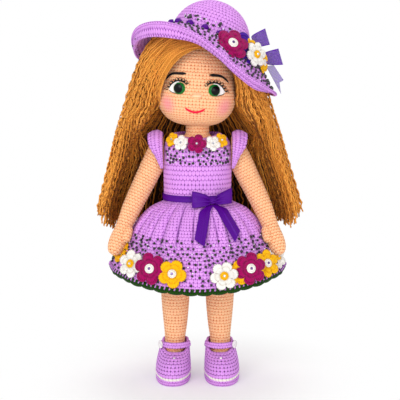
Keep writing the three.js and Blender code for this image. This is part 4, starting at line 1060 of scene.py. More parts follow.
@dataclass
class Head(Piece):
    """The head with its embroidered face and safety eyes."""

    body: str = "head"
    chin: float = 268.0
    height: float = 102.0
    wide: float = 39.8
    deep: float = 38.5
    lean: float = 3.5
    neck: float = 12.4
    socket: float = 279.3
    eye_x: float = 17.0
    eye_height: float = 41.2
    eye_radius: float = 6.0
    eye_dome: float = 3.2
    eye_rim: float = 2.0
    eye_back: float = -1.4
    cheeks: float = 0.03
    chin_rise: float = 3.0
    brow_thread: float = 1.5
    mouth_thread: float = 1.0
    lid_thread: float = 0.95
    line_thread: float = 0.42
    lash_thread: float = 0.48
    nose_thread: float = 0.62
    felt_wall: float = 0.3
    lid_lift: float = 1.3
    mouth_lift: float = 1.2
    line_lift: float = 1.1
    felt_lift: float = 1.15

    def tilt(self, p: Array, back: bool = False) -> Array:
        """Lean points of the head to the doll's left, or back again."""
        a = math.radians(-self.lean if back else self.lean)
        middle = self.chin + self.height / 2
        x, z = p[..., 0], p[..., 2] - middle
        return points(
            x * math.cos(a) + z * math.sin(a), p[..., 1], z * math.cos(a) - x * math.sin(a) + middle
        )

    def field(self, p: Array) -> Array:
        """Above 0 outside the head and below 0 in it."""
        q = self.tilt(p, back=True)
        width = read(HEAD_SHARES, (q[..., 2] - self.chin) / self.height)
        return np.hypot(q[..., 0] / self.wide, q[..., 1] / self.deep) - width

    def keep_off(self, p: Array, room: float = 1.0) -> Array:
        """Push points out that would sink into the head."""
        q = self.tilt(p, back=True)
        share = (q[:, 2] - self.chin) / self.height
        width = read(HEAD_SHARES, share)
        inside = (share > 0) & (share < 1)
        reach = np.hypot(q[:, 0] / (self.wide * width + room), q[:, 1] / (self.deep * width + room))
        push = np.where(inside & (reach < 1) & (reach > 0.3), 1 / np.maximum(reach, 0.3), 1.0)
        q[:, 0] *= push
        q[:, 1] *= push
        return self.tilt(q)

    def spot(self, across: float, down: float, lift: float = 0.0) -> Array:
        """Point of the face under a pixel of the photograph.

        Args:
            across: Pixel across.
            down: Pixel down.
            lift: Height over the face in millimetres.

        Returns:
            The point.
        """
        ray = unit(VIEW.rays(across, down))
        reach = np.arange(1050, 1180, 0.05)
        line = np.asarray(VIEW.at) + ray * reach[:, None]
        hit = line[np.argmax(self.field(line) < 0)]
        return hit + self.outward(hit) * lift

    def outward(self, p: Array) -> Array:
        """The way out of the head at a point."""
        step = np.eye(3) * 0.2
        return unit(np.array([self.field(p + s) - self.field(p - s) for s in step]))

    def outline(self) -> Outline:
        """Side line of the head, with the neck's socket below."""
        share = np.linspace(0, 1, 160)
        width = read(HEAD_SHARES, share)
        z = np.concatenate(
            [
                [self.socket, self.socket, self.chin + 0.4],
                self.chin + self.height * share,
                [self.chin + self.height],
            ]
        )
        rim = [0, self.neck, self.neck]
        return Outline(
            z,
            np.concatenate([rim, self.wide * width, [0]]),
            np.concatenate([rim, self.deep * width, [0]]),
        )

    def build(self) -> None:
        """Build the head and face."""
        outline = self.outline()

        def skin(u: Array, v: Array) -> Array:
            p = outline.around(u, v)
            share = (p[:, 2] - self.chin) / self.height
            p[:, 0] *= 1 + self.cheeks * np.exp(-(((share - 0.3) / 0.22) ** 2))
            p[:, 2] += self.chin_rise * np.clip(1 - share / 0.35, 0, 1) ** 2
            return self.tilt(p)

        head = knit("head_crochet", skin, SKIN_GAUGE)
        blushes = tuple((*self.spot(x, y), radius) for x, y, radius in CHEEKS)
        rouged = Yarn("face_crochet", SKIN.slot, SKIN.yarn, SKIN.tone, SKIN.gap, blushes=blushes)
        self.settle(head, rouged, "head")
        for side in Side:
            self.eye(side)
        self.embroidery()
        for side in Side:
            WASHER.dress(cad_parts[f"eye_washer_{side.label}"])

    def eye(self, side: Side) -> None:
        """Build a safety eye, a domed disc whose flat back lies in the face."""
        x = side.value * self.eye_x
        z = self.chin + self.eye_height
        width = float(read(HEAD_SHARES, np.array((z - self.chin) / self.height)))
        y = -self.deep * width * math.sqrt(1 - (x / (self.wide * width)) ** 2)
        way = unit(np.array([x / self.wide, y / self.deep, 0]))
        middle = self.tilt(np.array([x, y, z]))
        way = self.tilt(np.array([x, y, z]) + way) - middle
        radius, flat, rows = self.eye_radius, 0.12, 24

        def dome(u: Array, v: Array) -> Array:
            a, tip = u * TURN, np.clip((v - flat) / (1 - flat), 0, 1) * math.pi / 2
            r = np.where(v < flat, radius * v / flat, radius * np.cos(tip))
            height = np.where(v < flat, self.eye_back, self.eye_rim + self.eye_dome * np.sin(tip))
            return points(r * np.cos(a), r * np.sin(a), height)

        made = knit(f"eye_{side.label}_dome", dome, PLAIN, count=(48, rows))
        set_map(made.data, get_map(made.data) / (1, rows))
        moved(made, facing(middle, way, 0))
        self.settle(made, EYE, f"eye_{side.label}")

    def embroidery(self) -> None:
        """Build brows, mouth, nose, and each eye's lid, lashes and felt corner."""
        brows = [self.line(brow, self.lid_lift) for brow in BROWS]
        self.settle(cords("brows", brows, self.brow_thread, 8, taper=0.4), BLACK)
        self.settle(cords("mouth", [self.line(MOUTH, self.mouth_lift)], self.mouth_thread, 8), RED)
        self.settle(self.nose(), PEACH)
        for side, lid in LIDS.items():
            label, lower = side.label, LOWER_LIDS[side]
            edge, line = self.line(lid, self.lid_lift), self.line(lower, self.line_lift)
            self.settle(cords(f"lid_{label}", [edge], self.lid_thread, 6, taper=0.4), BLACK)
            self.settle(cords(f"lower_line_{label}", [line], self.line_thread, 6), BLACK)
            self.settle(self.felt(f"eye_felt_{label}", lid[:1:-1], lower), FELT)
            self.settle(self.lashes(side, lid), BLACK)

    def line(self, pixels: Sequence, lift: float) -> list[Array]:
        """Points of the face under pixels of the photograph."""
        return [self.spot(x, y, lift) for x, y in pixels]

    def felt(self, name: str, top: Sequence, low: Sequence) -> Object:
        """Felt corner of an eye, between its lid and lower line."""
        upper, under = (smooth_path(line, 9) for line in (top, low))

        def surface(u: Array, v: Array) -> Array:
            a, b = (
                np.stack([np.interp(u * 8, range(9), line[:, c]) for c in (0, 1)], axis=-1)
                for line in (upper, under)
            )
            return np.array([self.spot(x, y, self.felt_lift) for x, y in mix(b, a, v[:, None])])

        size = (8, 6)
        mesh, uv, corners = unit_grid(name, *size)
        set_points(mesh, surface(uv[:, 0], uv[:, 1]))
        set_map(mesh, corners * size)
        return thickened(object_of(name, mesh), self.felt_wall, "felt")

    def nose(self) -> Object:
        """Nose: a small pad of satin stitches laid side by side."""
        rows = []
        across, down = NOSE
        for k, half in enumerate(NOSE_HALVES):
            rise = 0.6 + 1.1 * math.sin(0.5 + k * 0.42)
            rows.append([
                self.spot(across + t * half, down + k * NOSE_STEP, 0.3 + rise * math.cos(t * 1.1))
                for t in np.linspace(-1, 1, 5)
            ])
        return cords("nose", rows, self.nose_thread, 6, 14)

    def lashes(self, side: Side, lid: Sequence) -> Object:
        """Curly lashes in a fan along a lid."""
        rng = np.random.default_rng(11 + side.value)
        middle = np.array([lid[2][0], lid[2][1] + 9.0])
        guides = []
        for k, root in enumerate(smooth_path(lid, 17)):
            way = unit(root - middle)
            aside = np.array([-way[1], way[0]])
            reach, curl = rng.uniform(2.4, 3.9), rng.uniform(0.3, 0.6) * (1 if k % 2 else -1)
            line = []
            for t in np.linspace(0, 1, 6):
                x, y = root + way * (0.2 + reach * t) + aside * curl * math.sin(t * math.pi * 1.4)
                line.append(self.spot(x, y, 1.2 + 0.8 * t))
            guides.append(line)
        return cords(f"lashes_{side.label}", guides, self.lash_thread, 5, 14, taper=0.4)


TORSO_SHARES = (
    (0, 0.9, 0.86), (0.04, 1, 1), (0.16, 1.0, 1.04), (0.3, 0.94, 1.02), (0.44, 0.87, 0.96),
    (0.58, 0.87, 0.97), (0.72, 0.881, 1), (0.86, 0.881, 0.98), (0.93, 0.84, 0.9),
    (0.965, 0.73, 0.8), (0.985, 0.54, 0.66), (1, 0.36, 0.52),
)
LEG_SHARES = (
    (0, 1.04), (0.12, 1), (0.3, 0.95), (0.5, 0.82), (0.66, 0.69), (0.75, 0.687), (0.86, 0.75)
)


@dataclass
class Torso(Piece):
    """Torso with its neck, and the two legs that are worked on to it."""

    hip: float = 118.0
    neck: float = 260.0
    wide: float = 37.0
    deep: float = 23.6
    neck_radius: float = 12.0
    neck_foot: float = 262.7
    neck_top: float = 279.0
    leg_x: float = 23.6
    shoe_x: float = 26.0
    thigh: float = 15.0
    floor: float = 5.2
    instep: float = 35.0
    foot_half: float = 13.6
    foot_length: float = 22.0
    foot_ahead: float = 9.0
    foot_height: float = 22.5

    def build(self) -> None:
        """Build torso and legs."""
        share = np.linspace(0, 1, 120)
        end = [self.neck_radius, self.neck_radius]
        z = np.concatenate(
            [
                [self.hip],
                mix(self.hip, self.neck, share),
                [self.neck_foot, self.neck_top, self.neck_top],
            ]
        )
        wide = np.concatenate([[0], self.wide * read(TORSO_SHARES, share), end, [0]])
        deep = np.concatenate([[0], self.deep * read(TORSO_SHARES, share, 2), end, [0]])
        made = knit(
            "torso_crochet", Outline(z, wide, deep).around, Gauge(3.5, 3.3, across=3, along=2)
        )
        self.settle(made, SKIN, "torso")
        for side in Side:
            self.leg(side)
        WOOD.dress(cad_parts["neck_dowel"])
        Thread("strong_thread", "thread", "#f4efe6", "#cfc6b8").dress(
            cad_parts["shoulder_thread"]
        )

    def leg(self, side: Side) -> None:
        """Build a leg and its foot."""
        top, floor = self.hip - SEAM, self.floor
        share = np.linspace(0, 0.86, 100)[::-1]
        radius = self.thigh * read(LEG_SHARES, share)
        z = top - (top - floor) * share
        closed = np.concatenate([[0], radius, [0]])
        outline = Outline(np.concatenate([[z[0]], z, [top]]), closed, closed)

        def limb(u: Array, v: Array) -> Array:
            p = outline.around(u, v)
            down = (top - p[:, 2]) / (top - floor)
            p[:, 0] += side.value * mix(self.leg_x, self.shoe_x, smoothstep(0.5, 1, down))
            instep = (
                np.exp(-(((p[:, 2] - self.instep) / 4) ** 2))
                * np.maximum(0, -np.sin(u * TURN + math.pi / 2))
            )
            p[:, 1] -= 1.6 * instep
            return p

        def foot(u: Array, v: Array) -> Array:
            a = u * TURN + math.pi / 2
            rise = np.clip((v - 0.3) / 0.7, 0, 1) * math.pi / 2
            r = np.where(v < 0.3, v / 0.3, np.cos(rise))
            x = side.value * self.shoe_x + self.foot_half * r * np.cos(a)
            y = -self.foot_ahead + self.foot_length * r * np.sin(a)
            return points(x, y, floor + self.foot_height * np.sin(rise))

        parts = [knit("limb", limb, SKIN_GAUGE), knit("foot", foot, SKIN_GAUGE)]
        made = self.settle(joined(f"leg_{side.label}_crochet", parts), SKIN, f"leg_{side.label}")


ARM_SHARES = (
    (-0.1, 0), (-0.098, 0.12), (-0.085, 0.5), (-0.05, 0.84), (0, 1), (0.12, 1.04),
    (0.3, 0.99), (0.45, 0.93), (0.6, 0.85), (0.72, 0.78), (0.8, 0.8), (0.88, 0.86),
    (0.94, 0.78), (0.985, 0.5), (1, 0.1), (1.002, 0),
)
THUMB_SHARES = (
    (-0.01, 0), (0, 0.3), (0.08, 0.8), (0.35, 1), (0.75, 1), (0.93, 0.7), (1, 0.2), (1.005, 0)
)


@dataclass
class Arm(Piece):
    """An arm that swings at the shoulder, with a mitten hand."""

    side: Side = Side.RIGHT
    radius: float = 11.4
    length: float = 118.0
    out: float = 25.5
    ahead: float = 16.5
    hand: float = 15.0
    wrist: float = 0.72
    curve: float = 0.2
    stretch: float = 0.13
    thumb: float = 4.3
    thumb_length: float = 17.0
    shoulder: tuple[float, float, float] = (38.0, 4.5, 247.0)
    face: float = 35.7

    @property
    def inward(self) -> float:
        """How far the forearm bends in; the doll's left bends more."""
        return 0.2 if self.side is Side.LEFT else 0.08

    def centre(self, share: Array) -> Array:
        """Middle of the arm at shares of its length."""
        out, ahead = math.radians(self.out), math.radians(self.ahead)
        s = self.side.value
        bend = (1 + self.curve) * share * share - self.curve * share
        aside = share - self.inward * np.maximum(share - 0.45, 0) ** 2
        down = share + self.stretch * np.maximum(share - 0.6, 0)
        way = points(
            s * math.sin(out) * aside,
            -math.sin(ahead) * bend,
            -math.cos(out) * math.cos(ahead) * down,
        )
        return np.array([s * self.shoulder[0], *self.shoulder[1:]]) + way * self.length

    def tube(self, share: Array, u: Array, centre: Callable, wide: Array, deep: Array) -> Array:
        """Points round a path at angles u, with half widths across and in depth."""
        ahead = unit(centre(share + 0.01) - centre(share - 0.01))
        side = unit(np.cross(np.broadcast_to((0.0, -1.0, 0.0), ahead.shape), ahead))
        front = np.cross(ahead, side)
        a = u * TURN + math.pi / 2
        return (
            centre(share) + side * (wide * np.cos(a))[:, None] + front * (deep * np.sin(a))[:, None]
        )

    def build(self) -> None:
        """Build the arm and its thumb."""
        s = self.side.value

        def limb(u: Array, v: Array) -> Array:
            share = mix(-0.1, 1.002, v)
            wide = (
                self.radius
                * np.maximum(read(ARM_SHARES, share), 0)
                * mix(1, 0.9, smoothstep(0.6, 0.8, share))
            )
            flat = smoothstep(self.wrist, 1, share)
            p = self.tube(
                share, u, self.centre, wide, mix(wide, np.minimum(wide, self.hand / 2), flat)
            )
            p[:, 0] = s * np.maximum(s * p[:, 0], self.face)
            return p

        top = (
            self.centre(np.array([self.wrist]))[0] + (-s * self.radius * 0.62, -self.thumb * 1.2, 0)
        )
        along = unit((self.centre(np.array([1.0])) - self.centre(np.array([self.wrist])))[0])
        top = top + along * 6.5 + (s * 1.2, 0, 0)
        lean = np.array([-s * self.thumb, -self.thumb, 0])

        def thumb(u: Array, v: Array) -> Array:
            share = mix(-0.01, 1.005, v)
            radius = self.thumb * np.maximum(read(THUMB_SHARES, share), 0)

            def path(t: Array) -> Array:
                return top + along * (self.thumb_length * t)[:, None] + lean * (t / 2)[:, None]

            return self.tube(share, u, path, radius, radius)

        name = f"arm_{self.side.label}"
        parts = [knit("limb", limb, SKIN_GAUGE), knit("thumb", thumb, SKIN_GAUGE)]
        made = self.settle(joined(f"{name}_crochet", parts), SKIN, name)


# ---------------------------------------------------------------- the dress

BODICE_SHARES = (
    (0, 0.99, 0.99), (0.25, 0.995, 1), (0.5, 1, 1.01), (0.72, 1, 0.99), (0.84, 0.97, 0.93),
    (0.92, 0.88, 0.84), (0.97, 0.74, 0.74), (1, 0.66, 0.68),
)
SLEEVE_SHARES = (
    (0, 0.06), (0.12, 0.42), (0.24, 0.86), (0.36, 1), (0.5, 1.02),
    (0.64, 1), (0.76, 0.86), (0.88, 0.42), (1, 0.06),
)
SKIRT_SHARES = (
    (0, 0.388), (0.03, 0.425), (0.105, 0.515), (0.207, 0.602), (0.322, 0.678), (0.437, 0.738),
    (0.56, 0.8), (0.72, 0.884), (0.88, 0.952), (1, 1),
)
FOLD_SHARES = ((0, 0.25), (0.2, 0.9), (0.45, 1), (0.7, 0.6), (1, 0.35))
BEAD_SIZES = (0.85, 1.1)
# Millimetres round and up that the beads' (u, v) span.
SKIRT_SPAN = (480, 80)
BODICE_SPAN = (200, 71)


class Blossom(Enum):
    """Yarn, middle and gem of the flowers."""

    PLUM = (PLUM_YARN, WHITE_YARN, AMETHYST)
    YELLOW = (YELLOW_YARN, WHITE_YARN, AMETHYST)
    WHITE = (WHITE_YARN, YELLOW_YARN, CRYSTAL)
    VIOLET = (VIOLET_YARN, VIOLET_YARN, None)


@dataclass
class Flower:
    """A crocheted flower with domed petals, in its own frame with +Z outwards."""

    radius: float
    petals: int
    blossom: Blossom
    thickness: float = 3.0
    tiers: int = 1
    eye: bool = True

    def petal(self, a: Array) -> Array:
        """1 in the middle of a petal and 0 between two."""
        return np.abs(np.cos(self.petals * a / 2)) ** 0.55

    def tier(self, scale: float, lift: float, turn: float) -> Object:
        """One ring of petals."""
        radius = self.radius * scale

        def surface(u: Array, v: Array) -> Array:
            a = u * TURN + turn
            petal = self.petal(a - turn)
            rim = 0.2
            t = np.clip((1 - v) / (1 - rim), 0, 1)
            low = np.clip(v / rim, 0, 1)
            r = (
                radius
                * np.where(v < rim, low * 0.97, t)
                * (1 - 0.34 * (1 - petal) * np.where(v < rim, low, t))
            )
            dome = np.sin(math.pi * np.clip(t, 0, 1) ** 1.2) * (0.35 + 0.65 * petal)
            top = self.thickness * (0.5 + 0.45 * dome) - 0.9 * (1 - petal) * t - 0.7 * t**5
            z = np.where(
                v < rim, mix(0.0, self.thickness * 0.5 - 0.7, low**4), np.maximum(top, 0.4)
            )
            return points(r * np.cos(a), r * np.sin(a), z + lift)

        stitches = self.petals * max(4, round(radius * 0.5))
        rows = max(3, round(radius / 2.9)) + 1
        return knit(
            "tier",
            surface,
            Gauge(relief=0.4, rib=0.5, lean=0, across=3, along=4),
            count=(stitches, rows),
        )

    def build(self, name: str, place: Matrix) -> tuple[list[Object], list[Finish]]:
        """Build the flower.

        Args:
            name: Name of the flower's pieces.
            place: Its frame in the doll's, in millimetres.

        Returns:
            Its pieces, and their finishes in the same order.
        """
        yarn, middle, gem = self.blossom.value
        tiers = [self.tier(1.0, 0, 0)]
        if self.tiers > 1:
            tiers.append(self.tier(0.7, 1.7, math.pi / self.petals))
        made = [joined(f"{name}_petals", tiers)]
        finishes = [yarn]
        top = self.thickness * 0.62 + (1.7 if self.tiers > 1 else 0)
        if self.eye and middle is not yarn:
            radius = self.radius * 0.29

            def disc(u: Array, v: Array) -> Array:
                a, t = u * TURN, 1 - v
                r = (
                    radius
                    * np.where(
                        v < 0.15, v / 0.15, np.sin(np.clip((1 - v) / 0.85, 0, 1) * math.pi / 2)
                    )
                )
                z = np.where(
                    v < 0.15, 0.0, 1.9 * np.cos(np.clip(t / 0.85, 0, 1) * math.pi / 2) ** 0.6
                )
                return points(r * np.cos(a), r * np.sin(a), z + top)

            made.append(
                knit(
                    f"{name}_eye",
                    disc,
                    Gauge(relief=0.35, rib=0.5, across=3, along=3),
                    count=(10, 3),
                )
            )
            finishes.append(middle)
            top += 1.6
        if gem:
            made.append(self.gem(f"{name}_gem", top, 1.05 + self.radius * 0.05))
            finishes.append(gem if self.eye or self.blossom is Blossom.WHITE else CRYSTAL)
        for piece in made:
            moved(piece, place)
        return made, finishes

    def gem(self, name: str, base: float, radius: float) -> Object:
        """A small cut stone."""
        bm = bmesh.new()
        bmesh.ops.create_cone(
            bm, cap_ends=True, segments=8, radius1=radius * MM, radius2=radius * 0.55 * MM,
            depth=radius * 0.7 * MM, matrix=Matrix.Translation((0, 0, (base + radius * 0.35) * MM)),
        )
        made = object_of(name, mesh_of(name, bm))
        faces = made.data.polygons
        faces.foreach_set("use_smooth", np.zeros(len(faces), bool))
        return made


@dataclass
class Dress(Piece):
    """Bodice, flutter sleeves, gathered skirt, edging, sash and bow, flowers and beads."""

    waist: float = 191.5
    top: float = 262.2
    wide: float = 35.2
    deep: float = 26.2
    skirt_length: float = 73.5
    hem: float = 91.5
    hem_ratio: float = 77 / 91.5
    hem_back: float = 2.0
    hem_dip: float = 6.5
    folds: int = 16
    fold_depth: float = 1.7
    gathers: int = 30
    gather_depth: float = 3.2
    scallops: int = 38
    picots: int = 3
    sleeve_at: tuple[float, float, float] = (36.6, 2.5, 245.0)
    sleeve_radius: float = 15.6
    sleeve_width: float = 15.0
    sleeve_drop: float = 18.0
    frills: int = 34
    sash_height: float = 6.8
    bow_x: float = 15.5
    bow_rise: float = 4.2
    knot_half: tuple[float, float, float] = (4.9, 3.3, 3.5)
    loop_half: float = 10.0
    tail_widths: tuple[float, float] = (6.05, 11.5)
    neck_layer: float = 1.7
    hem_layer: float = 2.5
    bead_room: float = 3.4
    bead_rise: float = 0.75
    bodice_beads: int = 54
    seed: int = 7

    def bodice_point(self, u: Array, v: Array, out: float = 0.0) -> Array:
        """Point of the bodice's middle layer, u from the front to the doll's left."""
        a = u * TURN - math.pi / 2
        width = self.wide * read(BODICE_SHARES, v, 1) - FABRIC / 2 + out
        depth = self.deep * read(BODICE_SHARES, v, 2) - FABRIC / 2 + out
        scoop = 8 * v**6 * np.maximum(0, -np.sin(a)) ** 2 * 0.6
        return points(width * np.cos(a), depth * np.sin(a), mix(self.waist, self.top, v) - scoop)

    def gather(self, a: Array, v: Array) -> Array:
        """Height of the waist's gathers, with sharp valleys, fading down the skirt."""
        ridge = 2 * np.abs(np.sin((self.gathers * a + 1.3 * np.sin(5 * a)) / 2)) ** 0.8 - 0.7
        return ridge * smoothstep(0, 0.12, v) * smoothstep(0.78, 0.25, v)

    def mark_valleys(self, mesh: bpy.types.Mesh) -> None:
        """Store how deep each point of the skirt lies between its gathers, as the mask of the
        painted shade in their valleys.
        """
        x, y, z = get_points(mesh).T / MM
        v = np.clip((self.waist - z) / self.skirt_length, 0, 1)
        a = np.arctan2((y - self.hem_back * v) / self.ratio(v), x)
        depth = np.clip(0.25 - self.gather(a, v), 0, 1) * smoothstep(0.8, 0.3, v)
        mesh.attributes.new("valley", "FLOAT", "POINT").data.foreach_set(
            "value", depth.astype(np.float32)
        )

    def ratio(self, v: Array) -> Array:
        """Depth of the skirt for its width."""
        return mix(self.deep / self.wide, self.hem_ratio, np.minimum(1, v * 1.4))

    def skirt_point(self, u: Array, v: Array, out: float = 0.0) -> Array:
        """Point of the skirt's middle layer, v down from the waist."""
        a = u * TURN - math.pi / 2
        fold = self.fold_depth * read(FOLD_SHARES, v) * np.cos(self.folds * (a + math.pi / 2))
        fold = fold + self.gather_depth * (self.gather(a, v) - 0.5)
        half = self.hem * read(SKIRT_SHARES, v) + fold + out
        rise = -self.hem_dip * np.cos(2 * (a + math.pi / 2)) * v * v
        z = self.waist - SEAM - self.skirt_length * v + rise
        return points(half * np.cos(a), half * self.ratio(v) * np.sin(a) + self.hem_back * v, z)

    def build(self) -> None:
        """Build the dress."""
        gauge = Gauge(3.3, 4.9, 0.55, rib=0.4)
        bodice = knit("bodice_crochet", lambda u, v: self.bodice_point(u + 0.5, v), gauge, FABRIC)
        self.settle(bodice, LILAC, "dress_bodice")
        gauge = Gauge(3.4, 3.3, 0.55, across=3, along=3)
        skirt = knit("skirt_crochet", lambda u, v: self.skirt_point(u + 0.5, 1 - v), gauge, FABRIC)
        self.mark_valleys(skirt.data)
        self.settle(skirt, LILAC_FOLD_SHADED, "dress_skirt")
        self.edging()
        for side in Side:
            self.sleeve(side)
        self.sash()
        self.bow()
        flowers = self.flowers()
        trim = self.beading()

    def sleeve(self, side: Side) -> None:
        """Build a flutter sleeve, a bowed frill over the shoulder."""
        straight = 0.19
        x, y, z = self.sleeve_at

        def surface(u: Array, v: Array) -> Array:
            u = np.clip(u, 0, 1)
            u = u if side is Side.RIGHT else 1 - u
            down = np.maximum.reduce([np.zeros_like(u), straight - u, u - 1 + straight]) / straight
            a = math.pi * np.clip((u - straight) / (1 - 2 * straight), 0, 1)
            width = read(SLEEVE_SHARES, u)
            bulge = 3.6 * width * np.sin(math.pi * np.minimum(1, 0.12 + v * 0.95))
            frill = 0.9 * np.sin(self.frills * math.pi * u) * smoothstep(0.45, 1.0, v)
            radius = self.sleeve_radius + bulge * FABRIC / 2 + frill
            return points(
                side.value * (x + self.sleeve_width * width * v),
                y - radius * np.cos(a) * (1 - 0.1 * down),
                z + radius * np.sin(a) * 0.99 - self.sleeve_drop * down,
            )

        made = knit(
            f"sleeve_{side.label}_crochet",
            surface,
            Gauge(2.5, 3.4, 0.5, rib=0.75, lean=0.0),
            wall=THIN_FABRIC,
        )
        LILAC.dress(made)
        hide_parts(f"sleeve_{side.label}")
        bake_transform(made)
        log.info("%s: blends from torso to arm", made.name)

    def edging(self) -> None:
        """Build the dark green scallops and the lilac picots over their top."""

        def hem(u: Array, down: Array, out: float) -> Array:
            base = self.skirt_point(u, np.ones_like(u), out)
            base[:, 2] -= down
            return base

        def scallops(u: Array, v: Array) -> Array:
            lobe = np.abs(np.sin(self.scallops * math.pi * u)) ** 0.6
            return hem(u + 0.5, mix(2.9 + 1.7 * lobe, -0.9, v), 0.9 + 0.5 * np.sin(v * math.pi))

        gauge = Gauge(relief=0.6, rib=0.6, across=3, along=4)
        made = knit("edging_crochet", scallops, gauge, 2.4, (self.scallops * 4, 2))
        self.settle(made, GREEN, "hem_edging")
        picots = self.scallops * self.picots
        places = (np.arange(picots) + 0.5) / picots
        steps = ((-2.0, 1.4), (-0.2, 3.2), (1.3, 3.0))
        line = [hem(places, np.full(picots, down), out) for down, out in steps]
        self.settle(cords("hem_picots", np.stack(line, axis=1), 0.85, 6, 8), LILAC)

    def sash(self) -> None:
        """Build the satin sash."""

        def surface(u: Array, v: Array) -> Array:
            height = self.sash_height * v + FABRIC / 2 + SEAM
            p = self.bodice_point(u + 0.5, height / (self.top - self.waist))
            crease = 0.22 * np.sin(v * 7 + np.sin(u * 19) * 1.5)
            return (
                p + unit(p * (1, 1, 0)) * (((FABRIC + RIBBON) / 2 + SEAM) * 1.3 + crease)[:, None]
            )

        made = knit("sash_ribbon", surface, PLAIN, wall=RIBBON, count=(160, 8))
        self.settle(made, SATIN, "sash")

    def front(self, x: Array) -> Array:
        """Depth of the sash's front at places across."""
        off = x / (self.wide + 2 * RIBBON)
        return -(self.deep + 2 * RIBBON) * np.sqrt(np.maximum(0, 1 - off**2))

    def bow(self) -> None:
        """Build the waist bow: a gathered knot, two loops and two tails."""
        knot = np.array([self.bow_x, self.front(self.bow_x) - 3.9, self.waist + self.bow_rise])

        def ball(u: Array, v: Array) -> Array:
            a, tip = u * TURN, (v - 0.5) * math.pi
            pleat = 1 + 0.16 * np.sin(8 * a + 2 * np.sin(3 * tip)) * np.cos(tip)
            r = np.cos(tip) ** 0.6 * pleat
            across, deep, high = self.knot_half
            return knot + points(across * np.sin(tip), deep * r * np.cos(a), high * r * np.sin(a))

        made = knit("bow_knot_ribbon", ball, PLAIN, count=(54, 24))
        self.settle(made, SATIN, "waist_bow_knot")
        loops = ((Side.RIGHT, -8, 17.0, 0.07), (Side.LEFT, 20, 15.5, 0.22))
        for side, turned, wide, rise in loops:
            s, turn = side.value, math.radians(turned)

            def loop(u: Array, v: Array) -> Array:
                a = u * TURN
                out = self.loop_half * (1 - np.cos(a))
                reach = 2 * self.loop_half
                depth = 4 * np.sin(a) * (0.35 + 0.65 * out / reach)
                height = mix(4.6, wide, np.sqrt(out / reach))
                pinch = np.exp(-out / 7)
                pleat = (
                    1.7 * np.sin(v * 17 + 1.5 * np.sin(a) + s) * pinch
                    + 0.7 * np.sin(v * 4.5 + a) * (1 - pinch)
                )
                return knot + points(
                    s * (out * math.cos(turn) + 1.0 + 1.4 * pinch),
                    out * math.sin(turn) + depth - 1.6 + pleat,
                    (v - 0.5) * height + out * rise,
                )

            made = knit(f"bow_loop_{side.label}_ribbon", loop, PLAIN, RIBBON * 0.6, (64, 24))
            self.settle(made, SATIN, f"waist_bow_loop_{side.label}")
        self.tail(Side.RIGHT, knot, -6.6, -0.2, (31.0, 37.5))
        self.tail(Side.LEFT, knot, 6.6, 0.62, (35.0, 25.0))

    def tail(
        self, side: Side, knot: Array, apart: float, spread: float, drops: tuple[float, float]
    ) -> None:
        """Build a bow tail that lies down the skirt and is cut on the slant.

        Args:
            side: Its side of the bow.
            knot: The middle of the bow's knot.
            apart: How far beside the knot it starts.
            spread: How far aside it runs for each millimetre down.
            drops: The lengths of its viewer's left and right edges.
        """

        def surface(u: Array, v: Array) -> Array:
            drop = mix(drops[0], drops[1], u) * v
            x = knot[0] + spread * drop + apart * mix(0.35, 1, smoothstep(0, 0.2, v))
            width = mix(*self.tail_widths, smoothstep(0, 0.25, v))
            z = knot[2] - 4.4 - drop
            share = np.clip((self.waist - z) / self.skirt_length, 0, 1)
            half = self.hem * read(SKIRT_SHARES, share) + self.fold_depth + FABRIC
            across = x + (u - 0.5) * width
            depth = half * self.ratio(share)
            lie = -depth * np.sqrt(np.maximum(0, 1 - (across / half) ** 2)) - RIBBON - 2 * SEAM
            belt = self.front(x) - 2 * RIBBON
            crease = 1.6 * np.exp(-(((u - 0.62) / 0.12) ** 2)) * smoothstep(0, 0.3, v)
            ripple = 0.5 * np.abs(np.sin(u * 5 + v * 6)) * v
            return points(across, np.minimum(lie, belt) - 0.5 - ripple - crease, z)

        made = knit(f"tail_{side.label}_ribbon", surface, PLAIN, RIBBON * 0.6, (20, 44))
        self.settle(made, SATIN, f"waist_bow_tail_{side.label}")

    def flowers(self) -> list[Object]:
        """Build the flowers of neckline and hem.

        Returns:
            The pieces of the hem's flowers.
        """
        neck = (
            ("yellow_right", -0.146, 0.925, 0, 8.3, Blossom.YELLOW),
            ("white_right", -0.078, 0.894, 1, 8.6, Blossom.WHITE),
            ("plum_centre", -0.003, 0.885, 2, 10.2, Blossom.PLUM),
            ("white_left", 0.072, 0.887, 1, 8.6, Blossom.WHITE),
            ("yellow_left", 0.132, 0.92, 0, 8.3, Blossom.YELLOW),
        )
        for name, place, share, layer, radius, blossom in neck:
            at = self.bodice_point(np.array(place), np.array(share), FABRIC / 2)
            outward = unit(np.array([at[0] / 2, at[1], 8.0]))
            at = at + outward * (FABRIC + layer * self.neck_layer)
            self.plant(
                Flower(radius, 5, blossom, eye=False),
                f"neck_flower_{name}",
                facing(at, outward, 0.0),
            )
        hem = (
            ("yellow_outer_right", -0.2, 0.745, 0, 12.4, 5, Blossom.YELLOW),
            ("white_right", -0.137, 0.829, 1, 14.8, 6, Blossom.WHITE),
            ("plum_right", -0.089, 0.828, 2, 16.6, 6, Blossom.PLUM),
            ("yellow_right", -0.0465, 0.837, 1, 14.8, 5, Blossom.YELLOW),
            ("white_left", 0.0486, 0.863, 1, 14.6, 6, Blossom.WHITE),
            ("yellow_inner_left", 0.0767, 0.852, 0, 12.8, 5, Blossom.YELLOW),
            ("plum_left", 0.1017, 0.842, 2, 16.6, 6, Blossom.PLUM),
            ("yellow_left", 0.148, 0.845, 1, 14.8, 6, Blossom.YELLOW),
            ("white_outer_left", 0.2, 0.835, 0, 12.6, 6, Blossom.WHITE),
        )
        made = []
        for name, place, share, layer, radius, petals, blossom in hem:
            u, v = np.array([place]), np.array([share])
